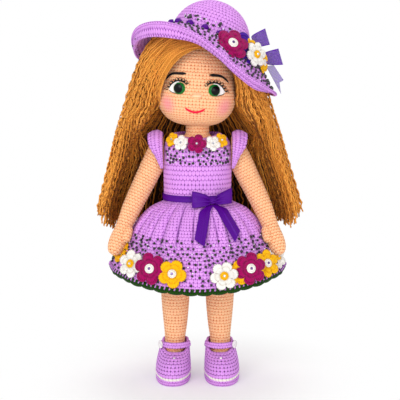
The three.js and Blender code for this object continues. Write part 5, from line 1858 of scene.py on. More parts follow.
            down = self.skirt_point(u, v + 0.05) - self.skirt_point(u, v - 0.05)
            around = self.skirt_point(u + 0.02, v) - self.skirt_point(u - 0.02, v)
            outward = unit(np.cross(down, around))[0]
            at = self.skirt_point(u, v)[0] + outward * (2.8 + layer * self.hem_layer)
            outward = unit(outward + (0, -0.45, 0))
            made += self.plant(
                Flower(radius, petals, blossom),
                f"hem_flower_{name}",
                facing(at, outward, place * TURN),
            )
        return made

    def beading(self) -> list[Object]:
        """Sew jet and clear beads on skirt and bodice.

        Returns:
            The skirt's beads.
        """
        rng = np.random.default_rng(self.seed)

        def sewn(part: str, surface: Surface, u: Array, v: Array) -> Object:
            at, way = surface(u, v), normals(surface, u, v)
            way *= np.sign((way * at * (1, 1, 0)).sum(1))[:, None]
            sizes = size * rng.uniform(*BEAD_SIZES, len(u))
            return self.settle(
                beads(f"{part}_beads_{name}", at + way * (FABRIC / 2 + self.bead_rise), way, sizes),
                finish,
            )

        made, most = [], self.bodice_beads
        kinds = (("jet", 3200, JET, 1.5, 3.7), ("clear", 700, CLEAR, 0.95, 5.5))
        for name, count, finish, size, near in kinds:
            u = rng.uniform(-0.5, 0.5, count)
            v = np.clip(rng.normal(0.7, 0.12, count), 0.46, 0.95)
            keep = spaced(np.column_stack([u, v]) * SKIRT_SPAN, near, range(count))
            made.append(sewn("skirt", self.skirt_point, u[keep], v[keep]))
            count //= 6
            u = rng.uniform(-0.175, 0.175, count)
            v = rng.uniform(0.585, 0.8, count)
            keep = spaced(
                np.column_stack([u, v]) * BODICE_SPAN, self.bead_room, range(count)
            )[:most]
            sewn("bodice", self.bodice_point, u[keep], v[keep])
        return made


# ---------------------------------------------------------------- shoes

# Side lines in millimetres: the sole's insets and heights, and the button's radii and heights.
SOLE_PATH = (
    (18, 0), (1.8, 0), (0.5, 0.6), (0, 1.8), (0, 8.0),
    (0.5, 8.2), (3.1, 8.2), (3.1, 3.4), (18, 3.4),
)
BUTTON_PATH = (
    (0, 0), (3.6, 0), (4.3, 0.6), (4.4, 1.1), (3.9, 1.75), (3.0, 2.0), (1.4, 1.7), (0, 1.6),
)

@dataclass
class Shoe(Piece):
    """A strapped shoe: sole, insole, upper, strap, welt thread and pearl button."""

    side: Side = Side.RIGHT
    middle: float = 26.0
    leg_x: float = 23.6
    half: float = 18.4
    front: float = 36.0
    back: float = 19.0
    sole: float = 8.2
    inner: float = 4.0
    collar: float = 13.1
    rim_front: float = 29.4
    rim_back: float = 41.0
    rope_radius: float = 1.5
    strap_z: float = 36.3
    strap_radius: float = 14.2
    strap_room: float = 1.1
    strap_sink: float = 1.3
    strap_widths: tuple[float, float] = (5.4, 3.8)
    button_z: float = 38.7
    button_x: float = 17.3
    pearl: float = 1.3

    def corner(self, value: Array) -> Array:
        """Squared-off sine or cosine."""
        return np.sign(value) * np.abs(value) ** 0.86

    def outline(self, a: Array, inset: Array, z: Array) -> Array:
        """Points of the shoe's outline at angles a."""
        length = np.where(np.sin(a) < 0, self.front, self.back)
        narrow = 1 - 0.09 * np.maximum(0, np.sin(a))
        return points(
            self.side.value * self.middle + (self.half - inset) * narrow * self.corner(np.cos(a)),
            (length - inset) * self.corner(np.sin(a)),
            z,
        )

    def upper(self, u: Array, v: Array) -> Array:
        """Point of the upper's middle layer, v from the sole to the rim."""
        a = u * TURN + math.pi / 2
        base = self.outline(a, np.full_like(u, FABRIC / 2), np.full_like(u, self.sole + SEAM))
        back = (1 + np.sin(a)) / 2
        reach = np.where(np.sin(a) < 0, self.collar + FABRIC, self.collar)
        height = mix(self.rim_front, self.rim_back, smoothstep(0.06, 0.7, back))
        rim = points(
            self.side.value * self.leg_x + self.collar * np.cos(a), reach * np.sin(a), height
        )
        shoulder = points(base[:, 0], base[:, 1] * mix(1.06, 1.0, back), mix(22.3, 22.0, back))
        w = (1 - v)[:, None]
        v = v[:, None]
        return base * w * w + shoulder * 2 * v * w + rim * v * v

    def build(self) -> None:
        """Build the shoe."""
        label, s = self.side.label, self.side.value

        def sole(u: Array, v: Array) -> Array:
            inset, z = profile(SOLE_PATH, v)
            edge = self.outline(u * TURN + math.pi / 2, np.minimum(inset, self.inner), z)
            middle = np.array([s * self.middle, (self.back - self.front) / 2, 0])
            pull = np.clip((inset - self.inner) / (SOLE_PATH[0][0] - self.inner), 0, 1)[:, None]
            return edge * (1 - pull) + (middle + points(0, 0, z)) * pull

        made = knit(f"shoe_sole_{label}_crochet", sole, Gauge(3.0, 2.7, 0.35))
        self.settle(made, LILAC, f"shoe_sole_{label}")
        gauge = Gauge(3.9, 4.0, 0.5, rib=0.55)
        made = knit(f"shoe_upper_{label}_crochet", self.upper, gauge, wall=FABRIC)
        self.settle(made, LACE, f"shoe_upper_{label}")
        self.strap()
        self.rope(f"welt_{label}", self.welt, 36, WHITE_YARN)
        self.rope(f"shoe_rim_{label}", self.rim, 28, LILAC)
        self.button()
        BOARD.dress(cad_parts[f"insole_{label}"])

    def welt(self, a: Array) -> Array:
        """Line of the white welt, lower at the toe."""
        ahead = np.maximum(0, -np.sin(a))
        return self.outline(a, np.full_like(a, 0.4), self.sole + 1.2 - 2.4 * ahead**1.5)

    def rim(self, a: Array) -> Array:
        """Line of the upper's rim."""
        return self.upper((a - math.pi / 2) / TURN, np.full_like(a, 1.0)) + points(0, 0, 0.5)

    def rope(self, name: str, line: Callable, links: int, finish: Finish) -> None:
        """Build a chain of stitches that runs right round the shoe."""

        def surface(u: Array, v: Array) -> Array:
            a = u * TURN + math.pi / 2
            base, b = line(a), v * TURN
            middle = np.array([self.side.value * self.middle, 0, 0])
            out = unit((base - middle) * (1, 1, 0))
            swell = self.rope_radius * (0.8 + 0.25 * np.abs(np.sin(links * math.pi * u + b / 2)))
            p = base + out * (swell * np.cos(b))[:, None]
            p[:, 2] += swell * np.sin(b)
            return p

        made = knit(name, surface, Gauge(relief=0, across=6, along=2), count=(links, 5))
        self.settle(made, finish)

    def strap(self) -> None:
        """Build the strap over the instep."""
        label, s = self.side.label, self.side.value

        def surface(u: Array, v: Array) -> Array:
            a = mix(-math.pi * 0.98, -math.pi * 0.02, np.clip(u, 0, 1))
            end = smoothstep(0.8, 1.0, np.abs(2 * u - 1))
            sink = self.strap_sink * end
            flare = self.strap_radius + self.strap_room + (1 - v) * THIN_FABRIC / 2 - sink
            z = self.strap_z - sink + mix(*self.strap_widths, end) * v
            return points(s * self.leg_x + flare * np.cos(a), flare * np.sin(a) * 1.1, z)

        made = knit(f"shoe_strap_{label}_crochet", surface, Gauge(2.8, 2.7, 0.45), wall=THIN_FABRIC)
        self.settle(made, LILAC, f"shoe_strap_{label}")

    def button(self) -> None:
        """Build the domed pearl button and the small pearl on the vamp."""
        label, s = self.side.label, self.side.value
        turned = math.radians(30)
        way = np.array([s * math.cos(turned), -math.sin(turned) * 1.1, 0])
        at = np.array([s * self.leg_x, 0, self.button_z]) + way * self.button_x

        def dome(u: Array, v: Array) -> Array:
            a = u * TURN
            r, z = profile(BUTTON_PATH, v)
            return points(r * np.cos(a), r * np.sin(a), z)

        made = moved(knit(f"button_{label}", dome, PLAIN, count=(32, 24)), facing(at, way, 0))
        self.settle(made, PEARL, f"shoe_button_{label}")
        spot = self.upper(np.array([0.5]), np.array([0.78]))
        near = self.upper(np.array([0.5]), np.array([0.8])) - spot
        out = unit(np.cross(np.array([[1.0, 0, 0]]), near))
        out *= np.sign(out[:, 2:3])
        pearl = beads(
            f"vamp_pearl_{label}", spot + out * self.pearl, out, np.array([self.pearl]), (12, 8)
        )
        self.settle(pearl, PEARL)


# ---------------------------------------------------------------- hat

BRIM_SHARES = (
    (-180, 0.66, 0.89, 0.77, 0.75), (-160, 0.69, 0.81, 0.84, 0.57), (-140, 0.7, 0.73, 0.88, 0.44),
    (-120, 0.7, 0.66, 0.92, 0.39), (-100, 0.69, 0.6, 0.92, 0.47), (-80, 0.71, 0.72, 0.92, 0.65),
    (-60, 0.78, 0.92, 0.97, 0.84), (-40, 0.83, 0.98, 1.01, 0.86), (-20, 0.85, 0.82, 1.02, 0.79),
    (0, 0.85, 0.62, 1.01, 0.69), (30, 0.83, 0.5, 0.99, 0.5), (60, 0.78, 0.52, 0.94, 0.33),
    (90, 0.73, 0.56, 0.9, 0.38), (120, 0.69, 0.78, 0.83, 0.61), (150, 0.66, 1, 0.7, 0.92),
)
ROUND_BRIM = tuple((row[0] + shift, *row[1:]) for shift in (-360, 0, 360) for row in BRIM_SHARES)


@dataclass
class Hat(Piece):
    """Sun hat with a waved brim, a woven ribbon, flowers, beads and an organza bow."""

    body: str = "hat"
    radius: float = 40.5
    wall: float = 2.8
    reach: float = 43.0
    droop: float = 41.0
    bend: float = 0.75
    at: tuple[float, float, float] = (12.9, 2.0, 359.2)
    roll: float = 22.0
    pitch: float = 12.5
    seed: int = 5
    flatten: float = 0.965
    sunk: float = 3.2
    margin: float = 1.9
    holes: int = 16
    band_z: float = -1.3
    band_radius: float = 41.2
    knot_radius: float = 3.5
    bead_rise: float = 0.8

    def frame(self) -> Matrix:
        """The hat's frame in the doll's, in millimetres."""
        roll = Matrix.Rotation(math.radians(self.roll), 4, "Y")
        return (
            Matrix.Translation(self.at) @ roll @ Matrix.Rotation(-math.radians(self.pitch), 4, "X")
        )

    def place(self, p: Array) -> Array:
        """Put points of the hat's frame into the doll's."""
        m = np.array(self.frame())
        return p @ m[:3, :3].T + m[:3, 3]

    def lift(self, p: Array) -> Array:
        """Put points of the doll's frame into the hat's."""
        m = np.array(self.frame().inverted())
        return p @ m[:3, :3].T + m[:3, 3]

    def brim(self, u: Array, v: Array) -> Array:
        """Point of the brim's middle layer, v outwards."""
        a = u * TURN - math.pi
        degrees = np.degrees(a)
        bend_out, bend_down, edge_out, edge_down = (
            read(ROUND_BRIM, degrees, c) for c in (1, 2, 3, 4)
        )
        fall = np.clip(v / self.bend, 0, 1)
        turn = np.clip((v - self.bend) / (1 - self.bend), 0, 1)
        reach = self.radius + self.reach * mix(bend_out * fall, edge_out, turn)
        drop = (
            self.droop * mix(bend_down * fall**1.3, edge_down, turn) + self.sunk * (1 - fall) ** 1.5
        )
        return points(reach * np.cos(a), reach * np.sin(a), -drop)

    def shell(self, u: Array, v: Array) -> Array:
        """Point of the hat's middle layer, from the brim's edge at 0 to the top at 1."""
        part = 0.42
        out = np.clip(1 - v / part, 0, 1)
        up = np.clip((v - part) / (1 - part), 0, 1) * math.pi / 2
        a = u * TURN - math.pi
        radius = self.radius - self.wall / 2
        crown = points(
            radius * np.cos(up) * np.cos(a),
            radius * np.cos(up) * np.sin(a),
            radius * self.flatten * np.sin(up),
        )
        return self.place(np.where((v < part)[:, None], self.brim(u, out), crown))

    def build(self) -> None:
        """Build the hat."""
        gauge = Gauge(3.4, 4.0, 0.8, rib=0.3, across=3, along=3)
        made = knit("hat_crochet", self.shell, gauge, wall=self.wall)
        self.settle(made, LILAC, "hat")
        self.edge()
        self.band()
        flowers = self.flowers()
        self.bow()
        trim = self.beading()

    def edge(self) -> None:
        """Build the plain rounded margin of the brim."""

        def surface(u: Array, v: Array) -> Array:
            base, b = self.brim(u, np.full_like(u, 0.985)), v * TURN
            out = unit(base * (1, 1, 0))
            p = base - out * (self.margin * np.cos(b))[:, None]
            p[:, 2] += self.margin * np.sin(b)
            return self.place(p)

        made = knit("hat_margin", surface, Gauge(relief=0.3, across=3, along=3), count=(150, 4))
        self.settle(made, LILAC)

    def band(self) -> None:
        """Build the ribbon that weaves in and out of the crown's foot."""

        def surface(u: Array, v: Array) -> Array:
            a = u * TURN
            wave = np.cos(self.holes * (a + math.radians(102.5)))
            puff = np.maximum(wave, 0)
            z = self.band_z + mix(2.2, 7.0, puff) * (v - 0.5) + 0.6 * puff
            radius = (
                self.band_radius
                + 2.0 * np.clip(wave * 2, -1, 1)
                + 3.8 * puff * np.sin(math.pi * v) ** 0.7
            )
            return self.place(points(radius * np.cos(a), radius * np.sin(a), z))

        made = knit("hat_band_ribbon", surface, PLAIN, wall=RIBBON, count=(384, 6))
        self.settle(made, SATIN, "hat_band")

    def flowers(self) -> list[Object]:
        """Build the hat's cluster of flowers."""
        rows = (
            ("violet", -52.5, 1.3, -0.17, -70, 0.35, 19.0, 6, Blossom.VIOLET),
            ("yellow_inner", -43, 1.3, -0.006, -64, 0.3, 9.6, 5, Blossom.YELLOW),
            ("yellow_outer", -16, 1.5, -0.138, -30, 0.3, 11.6, 5, Blossom.YELLOW),
            ("white", -39.8, 1.53, -0.15, -57, 0.22, 13.2, 6, Blossom.WHITE),
            ("plum", -68, 1.42, -0.229, -84, 0.45, 17.6, 6, Blossom.PLUM),
        )
        made = []
        for name, degrees, reach, height, turned, rise, radius, petals, blossom in rows:
            a, b = math.radians(degrees), math.radians(turned)
            at = np.array([reach * math.cos(a), reach * math.sin(a), height]) * self.radius
            outward = unit(np.array([math.cos(b), math.sin(b), rise]))
            place = self.frame() @ facing(at, outward, b)
            flower = Flower(radius, petals, blossom, tiers=2 if name == "plum" else 1)
            made += self.plant(flower, f"hat_flower_{name}", place)
        return made

    def bow(self) -> None:
        """Build the organza bow: a gathered knot, two loops and a notched tail."""
        low, high = np.array([58.0, 6.2, 355.2]), np.array([69.0, 3.4, 337.1])
        along = high - low
        parts = []
        loops = (
            (low + (-0.8, 0, 1.5), np.array([15.2, -1.0, 5.4]), np.array([5.0, 0, -16.6])),
            (high + (0.5, 0, 2.0), np.array([16.6, -1.0, 2.4]), np.array([5.0, 0, -16.6])),
        )
        for base, reach, width in loops:

            def loop(u: Array, v: Array) -> Array:
                a = u * TURN
                narrow = mix(0.5, 1, np.sin(np.minimum(a, TURN - a).clip(0) / 2) ** 0.7)
                out = (1 - np.cos(a)) / 2
                pleat = 0.8 * np.sin(v * 15) * np.exp(-3 * out) + 0.5 * np.sin(v * 4 + 2 * a)
                return (
                    base + reach * out[:, None] + width * ((v - 0.5) * narrow)[:, None]
                    + points(0, 4.2 * np.sin(a) + pleat, 0)
                )

            parts.append(knit("loop", loop, PLAIN, count=(56, 18)))

        def knot(u: Array, v: Array) -> Array:
            a, swell = u * TURN, np.sqrt(np.maximum(0, 1 - (2 * v - 1) ** 2))
            side = unit(np.cross(along, (0, 1, 0)))
            r = self.knot_radius * swell * (1 + 0.08 * np.sin(7 * a + 9 * v))
            return (
                low
                + along * v[:, None]
                + side * (r * np.cos(a))[:, None]
                + points(0, r * np.sin(a), 0)
            )

        parts.append(knit("knot", knot, PLAIN, count=(36, 24)))
        made = joined("organza_bow", [self.squared(part, across=True) for part in parts])
        self.settle(thickened(made, ORGANZA_WALL, "organza"), ORGANZA, "hat_bow")
        inner = np.array([[71.0, 3.0, 331.5], [86.8, 1.5, 302.8]])
        outer = np.array([[79.0, 4.0, 333.0], [89.3, 3.0, 317.5]])

        def tail(u: Array, v: Array) -> Array:
            share = (v * (1 - 0.22 * (1 - np.abs(2 * u - 1))))[:, None]
            left, right = (mix(edge[0], edge[1], share) for edge in (inner, outer))
            bulge = 0.8 * np.sin(u * 4 + v * 5) * v
            return mix(left, right, u[:, None]) + points(0, bulge, 0)

        made = knit("organza_tail", tail, PLAIN, wall=ORGANZA_WALL, count=(18, 44))
        self.squared(made, across=False)
        self.settle(made, ORGANZA, "hat_bow_tail")

    def squared(self, piece: Object, across: bool) -> Object:
        """Bring the map of a ribbon piece to 0 to 1, its width upwards."""
        share = get_map(piece.data)
        share /= share.max(axis=0)
        set_map(piece.data, share if across else share[:, ::-1])
        return piece

    def beading(self) -> list[Object]:
        """Sew beads over the brim, thinning towards its margin."""
        rng = np.random.default_rng(self.seed)
        made = []
        kinds = (("jet", 2400, JET, 1.5, 3.9), ("clear", 220, CLEAR, 0.9, 6.5))
        for name, count, finish, size, near in kinds:
            u = rng.uniform(0, 1, count)
            v = np.clip(rng.normal(0.42, 0.17, count), 0.06, 0.8)
            at = self.brim(u, v)
            front = smoothstep(0.1, 0.22, u) * smoothstep(0.85, 0.55, u)
            chosen = rng.uniform(0, 1, count) < mix(0.12, 1.0, front)
            kept = spaced(at, near, np.nonzero(chosen)[0])
            up = normals(self.brim, u, v)
            up *= np.sign(up[:, 2:3])
            rise = self.wall / 2 + self.bead_rise
            spots = self.place(at + up * rise)[kept]
            middle = self.place(np.zeros((1, 3)))
            out = (self.place(up) - middle)[kept]
            foot = self.shell(rng.uniform(0.1, 0.46, 22), rng.uniform(0.46, 0.51, 22))
            spots = np.concatenate([spots, foot + unit(foot - middle) * rise])
            out = np.concatenate([out, unit(foot - middle)])
            sizes = size * rng.uniform(*BEAD_SIZES, len(spots))
            made.append(self.settle(beads(f"hat_beads_{name}", spots, out, sizes), finish))
        return made

    def keep_under(self, p: Array, room: float = 1.6) -> Array:
        """Press points down that would come through the hat from below."""
        q = self.lift(p)
        a = np.arctan2(q[:, 1], q[:, 0])
        r = np.hypot(q[:, 0], q[:, 1])
        u = (a + math.pi) / TURN
        grid = np.linspace(0, 1, 25)
        limit = np.full(len(q), np.inf)
        for low, high in zip(grid[:-1], grid[1:]):
            a0, a1 = self.brim(u, np.full_like(u, low)), self.brim(u, np.full_like(u, high))
            r0, r1 = np.hypot(a0[:, 0], a0[:, 1]), np.hypot(a1[:, 0], a1[:, 1])
            share = (r - r0) / np.where(np.abs(r1 - r0) < 1e-6, 1e-6, r1 - r0)
            hit = (share >= 0) & (share <= 1)
            limit = np.where(hit, np.minimum(limit, mix(a0[:, 2], a1[:, 2], share)), limit)
        inner = self.radius - self.wall - room
        ceiling = np.where(
            r < inner, np.sqrt(np.maximum(inner**2 - r**2, 0)), limit - self.wall / 2 - room
        )
        gap = (r >= inner) & (r <= self.radius)
        ceiling = np.where(gap, -self.wall / 2 - room, ceiling)
        q[:, 2] = np.minimum(q[:, 2], ceiling)
        return self.place(q)


# ---------------------------------------------------------------- hair

FALL_SHARES = (
    (0, 0.38, -0.2, 0.3, 0.3), (0.03, 0.455, -0.25, 0.38, 0.3), (0.066, 0.5, -0.27, 0.43, 0.31),
    (0.112, 0.545, -0.27, 0.46, 0.31), (0.158, 0.58, -0.25, 0.48, 0.31), (
        0.224, 0.625, -0.22, 0.49, 0.3
    ),
    (0.347, 0.693, -0.18, 0.48, 0.27), (0.429, 0.745, -0.14, 0.46, 0.21), (
        0.5, 0.787, -0.1, 0.43, 0.15
    ),
    (0.587, 0.833, -0.08, 0.43, 0.125), (0.668, 0.88, -0.08, 0.47, 0.115), (
        0.755, 0.93, -0.08, 0.53, 0.11
    ),
    (0.821, 0.968, -0.08, 0.575, 0.11), (0.872, 1, -0.07, 0.61, 0.11), (
        0.918, 0.975, -0.05, 0.635, 0.115
    ),
    (0.964, 0.9, -0.01, 0.65, 0.12), (1, 0.82, 0.04, 0.645, 0.115),
)
HAIRLINE = (
    (-0.99, 0.27), (-0.905, 0.47), (-0.73, 0.61), (-0.465, 0.716), (-0.2, 0.765), (0.065, 0.794),
    (0.4, 0.75), (0.66, 0.68), (0.83, 0.61), (0.95, 0.49), (1, 0.35),
)


# Pixels of the photograph along the fringe's first and last strand, from the parting down.
LOCK_LINES = {
    Side.RIGHT: (
        (
            (202, 47.5),
            (196, 49),
            (189, 51.8),
            (180, 57.3),
            (171, 67.5),
            (164, 81),
            (160.5, 94),
            (158.5, 106),
        ),
        (
            (201, 42),
            (190, 38),
            (174, 40),
            (159, 47),
            (149, 58),
            (140, 73),
            (132.5, 90),
            (127.5, 106),
        ),
    ),
    Side.LEFT: (
        (
            (201, 47),
            (208, 48.5),
            (217, 52.5),
            (226, 60),
            (232.5, 70),
            (236, 82),
            (237, 94),
            (236.5, 106),
        ),
        ((203, 42), (215, 40), (230, 43), (243, 52), (252, 65), (258, 80), (264, 95), (270, 108)),
    ),
}
ROUND_BACK = (0, 8, 0)
UNDER = (-2.2, -0.8)


@dataclass
class Hair(Piece):
    """Crinkled yarn hair: a wig cap, a core dark with painted shade, and layers of loose strands,
    those under the surface in a copy of the yarn darkened with painted shade.
    """

    body: str = "head"
    half: float = 107.5
    top: float = 356.0
    length: float = 196.0
    cap: tuple[float, float, float] = (48.0, 46.0, 61.0)
    cap_z: float = 322.0
    tip: float = 0.72
    widest: float = 0.872
    flare: float = 20.0
    slim: float = 0.962
    waves: tuple[float, float] = (8.5, 11.0)
    crimps: tuple[float, float] = (0.5, 0.9)
    strand: tuple[float, float] = (0.78, 1.0)
    ply: float = 2.4
    seed: int = 3
    count: int = 190

    def ring(self, share: Array, place: Array, inset: Array) -> Array:
        """Point of the hair's fall.

        Args:
            share: How far down, from 0 to 1.
            place: Round the fall on the doll's left: 0 outer back, tip outer side,
                1 beside the face and 1 + tip inner back.
            inset: Millimetres in from the surface.

        Returns:
            The points, on the doll's left.
        """
        shape = np.minimum(share, self.widest)
        half, near, far, thick = (read(FALL_SHARES, shape, c) * self.half for c in (1, 2, 3, 4))
        half = half + (share - shape) * self.flare
        middle = near + (far - near) / 4
        outer = np.clip(place / self.tip, 0, 1) * math.pi / 2
        inner = np.clip((1 + self.tip - place) / self.tip, 0, 1) * math.pi / 2
        e = np.clip((place - self.tip) / (1 - self.tip), 0, 1) * math.pi
        x_out, y_out = (half - inset) * np.sin(outer), middle + (
            far - middle - inset
        ) * np.cos(outer)
        x_tip = half - thick / 2 + (thick / 2 - inset) * np.cos(e)
        y_tip = middle - np.maximum(middle - near - inset, 0) * np.sin(e)
        room = thick - inset
        x_in, y_in = (half - room) * np.sin(inner), middle + (far - middle - room) * np.cos(inner)
        x = np.where(place < self.tip, x_out, np.where(place <= 1, x_tip, x_in))
        y = np.where(place < self.tip, y_out, np.where(place <= 1, y_tip, y_in))
        return points(x, y, self.top - self.length * share)

    def rim(self, share: float, place: float) -> Array:
        """One point of the fall's surface."""
        return self.ring(np.array([share]), np.array([place]), np.array([0.0]))[0]

    def front(self, x: Array, z: Array) -> Array:
        """Depth of the hair's front over the head and beside it."""
        share = np.clip((self.top - z) / self.length, 0, 1)
        half, near, far, thick = (read(FALL_SHARES, share, c) * self.half for c in (1, 2, 3, 4))
        middle = near + (far - near) / 4
        off = np.clip((np.abs(x) - (half - thick / 2)) / (thick / 2), -1, 1)
        curtain = middle - (middle - near) * np.sqrt(1 - off**2)
        a, b, c = self.cap
        over = 1 - (x / a) ** 2 - ((z - self.cap_z) / c) ** 2
        return np.minimum(curtain, -b * np.sqrt(np.maximum(over, 0)))

    def spot(self, across: float, down: float, lift: float) -> Array:
        """Point of the hair's front under a pixel of the photograph."""
        depth = -20.0
        for _ in range(6):
            p = VIEW.spot(across, down, depth)
            depth = mix(depth, float(self.front(p[0], p[2])) - lift, 0.7)
        return VIEW.spot(across, down, depth)

    def crimp(self, path: Array, rng: np.random.Generator, start: float, size: float) -> Array:
        """Wave a strand as unravelled yarn waves, from a share of its length down."""
        run = run_along(path)
        share = run / run[-1]
        ahead = unit(np.gradient(path, axis=0))
        out = unit(path * (1, 1, 0) - ROUND_BACK)
        side = unit(np.cross(ahead, out))
        wave, phase = rng.uniform(*self.waves), rng.uniform(0, TURN)
        drift = np.sin(share * rng.uniform(3, 8) + rng.uniform(0, TURN)) * 1.7
        grow = smoothstep(start, start + 0.3, share)
        across = (
            np.sin(run / wave * TURN + phase + 0.8 * np.sin(run / 31 + phase)) * size * grow
            + drift * grow
        )
        deep = np.cos(run / wave * TURN * 0.9 + phase * 2) * size * 0.6 * grow
        return path + side * across[:, None] + out * deep[:, None]

    def lock(self, side: Side, w: float, rng: np.random.Generator) -> Array:
        """A front strand, from the parting by the hairline or the hat, down beside the face."""
        lift = 0.6 + 1.2 * math.sin(w * math.pi)
        guide = []
        for near, far in zip(*LOCK_LINES[side]):
            pixel = mix(np.array(near), np.array(far), w) + (0, rng.uniform(-0.6, 0.6))
            guide.append(self.spot(*pixel, lift))
        start = (self.top - guide[-1][2]) / self.length + 0.06
        end = mix(1.03, 0.9, w**1.5) + rng.uniform(-0.05, 0.025)
        for share in np.linspace(start, end, 9):
            inside = smoothstep(0.36, 0.62, share) * 0.42 * (1 - w) ** 1.3
            c = self.tip + (1 - self.tip) * (1 - w) + inside
            guide.append(self.rim(share, c) * (side.value, 1, 1))
        return np.array(guide)

    def sweep(self, side: Side, c: float, rng: np.random.Generator) -> Array:
        """A side or back strand: from the parting over the crown, and down the outside."""
        a, b, height = self.cap
        back = mix(0.9, -0.75, min(1, c / 0.8))
        p0 = unit(np.array([2.5 / a * side.value, back, 1.0]))
        low = 0.105
        p1 = self.rim(low, c)
        p1 = np.array([p1[0] / a, p1[1] / b, (p1[2] - self.cap_z) / height])
        size = np.linalg.norm(p1)
        guide = []
        turn = math.acos(np.clip(np.dot(p0, p1 / size), -1, 1))
        for t in np.linspace(0, 1, 7)[:-1]:
            way = (math.sin((1 - t) * turn) * p0 + math.sin(t * turn) * p1 / size) / math.sin(turn)
            p = way * mix(1.0, size, t * t) * (a, b, height) + (0, 0, self.cap_z)
            guide.append(p * (side.value, 1, 1))
        end = mix(1.03, 0.9, min(1, c / self.tip) ** 1.5) + rng.uniform(-0.05, 0.025)
        for share in np.linspace(low, end, 12):
            guide.append(self.rim(share, c) * (side.value, 1, 1))
        return np.array(guide)

    def inner(self, side: Side, c: float, rng: np.random.Generator) -> Array:
        """A strand on the inside of the fall, behind the neck and arms."""
        end = 0.98 + rng.uniform(-0.04, 0.02)
        share = np.linspace(0.3, end, 14)
        return self.ring(share, np.full(14, c), np.full(14, 0.5)) * (side.value, 1, 1)

    def bundle(
        self,
        name: str,
        make: Callable,
        places: Array,
        side: Side,
        start: float,
        lifts: tuple[float, float],
    ) -> Object:
        """Lay a layer of strands.

        Args:
            name: The piece's name.
            make: Gives a strand's guide from side, place and random numbers.
            places: One place for each strand.
            side: The doll's side.
            start: Share of a strand's length where its waves begin.
            lifts: Least and greatest millimetres that a strand stands off the fall.

        Returns:
            The piece.
        """
        rng = np.random.default_rng(self.seed + len(name) * 7 + side.value)
        rows = []
        for place in places:
            path = smooth_path(make(side, float(place), rng), self.count)
            out = unit(path * (1, 1, 0) - ROUND_BACK)
            path = self.crimp(
                path, rng, start, rng.uniform(*self.crimps) * (2 if "loose" in name else 1)
            )
            rows.append(path + out * rng.uniform(*lifts))
        paths = np.array(rows)
        flat = paths.reshape(-1, 3)
        right = flat[:, 0] < 0
        flat[:, 0] *= np.where(right, mix(1, self.slim, smoothstep(300, 180, flat[:, 2])), 1)
        flat = HEAD_SHAPE.keep_off(flat)
        flat = HAT_SHAPE.keep_under(flat)
        paths = flat.reshape(paths.shape)
        thick = rng.uniform(*self.strand, (len(paths), 1)) * np.linspace(0.8, 1.0, self.count)
        made = strands(name, paths, thick, 4, self.ply)
        # Strands laid under the fall's surface take the copy darkened with painted shade.
        (SHADED_HAIR if lifts[1] < 0 else HAIR).dress(made)
        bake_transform(made)
        log.info("%s: %d strands", name, len(paths))
        return made

    def build(self) -> None:
        """Build the hair."""
        core = self.core()
        # Dark with painted shade deep inside the fall.
        CORE_SHADE.dress(core)
        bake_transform(core)
        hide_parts("hair_back")
        cap = self.wig()
        self.settle(cap, CAP, "hair_crown")
        rng = np.random.default_rng(self.seed)
        for side in Side:
            label = side.label
            fringe = np.clip(np.linspace(0, 1, 40) + rng.uniform(-0.01, 0.01, 40), 0, 1)
            made = self.bundle(f"hair_locks_{label}", self.lock, fringe, side, 0.1, (-0.7, 1.3))
            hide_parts(f"hair_{label}")
            for part, make, places, start, lifts in (
                ("underlocks", self.lock, rng.uniform(0, 1, 26), 0.15, UNDER),
                ("fall", self.sweep, np.linspace(0.01, 0.84, 64), 0.15, (-0.8, 1.2)),
                ("underfall", self.sweep, rng.uniform(0, 0.84, 34), 0.2, UNDER),
                ("inside", self.inner, np.linspace(1.02, 1.7, 30), 0.0, (-1.6, -0.2)),
                ("loose", self.sweep, rng.uniform(0.5, 0.84, 12), 0.12, (1.6, 3.8)),
            ):
                self.bundle(f"hair_{part}_{label}", make, places, side, start, lifts)

    def core(self) -> Object:
        """Filling of the fall, dark with painted shade, a closed crescent."""

        def surface(u: Array, v: Array) -> Array:
            c = np.abs(np.mod(u + 0.5, 1) * 2 - 1) * (1 + self.tip)
            share = mix(0.98 - 0.14 * np.exp(-(((c - 0.85) / 0.3) ** 2)), 0.2, v)
            s = np.where(np.mod(u + 0.5, 1) < 0.5, -1.0, 1.0)
            thick = read(FALL_SHARES, share, 4) * self.half
            close = np.clip(np.minimum(v, 1 - v) / 0.04, 0, 1) ** 0.5
            inset = mix(thick / 2, np.minimum(3.0, thick * 0.35), close)
            return self.ring(share, c, inset) * points(s, 1, 1)

        return knit("hair_core", surface, Gauge(relief=0.3, across=1, along=1), count=(260, 90))

    def wig(self) -> Object:
        """Wig cap under the strands, open over the face."""
        a, b, height = (size - 3.0 for size in self.cap)

        def surface(u: Array, v: Array) -> Array:
            turn = u * TURN + math.pi / 2
            x = np.cos(turn)
            line = read(HAIRLINE, np.clip(x * 1.02, -0.99, 1)) * HEAD_SHAPE.height + HEAD_SHAPE.chin
            front = smoothstep(-0.05, -0.3, np.sin(turn))
            low = mix(296.0, line + 3.0, front)
            base = np.arcsin(np.clip((low - self.cap_z) / height, -1, 1))
            up = mix(base, math.pi / 2, v)
            x, y = a * np.cos(up) * np.cos(turn), b * np.cos(up) * np.sin(turn)
            return HAT_SHAPE.keep_under(points(x, y, self.cap_z + height * np.sin(up)), 2.6)

        return knit("wig_cap_crochet", surface, Gauge(3, 3, 0.3, across=2, along=2), wall=1.6)


HEAD_SHAPE = Head()
HAT_SHAPE = Hat()

# ---------------------------------------------------------------- studio


# Name, place and size in metres, watts, and where it aims.
LAMPS = (
    ("key", (-0.7, -1.6, 1.05), 1.2, 15.6, (0, 0, 0.22)),
    ("fill", (0.6, -1.6, 0.3), 1.2, 9.6, (0, 0, 0.2)),
    ("top", (0.1, 0.5, 1.5), 1.0, 5.0, (0, 0, 0.25)),
)


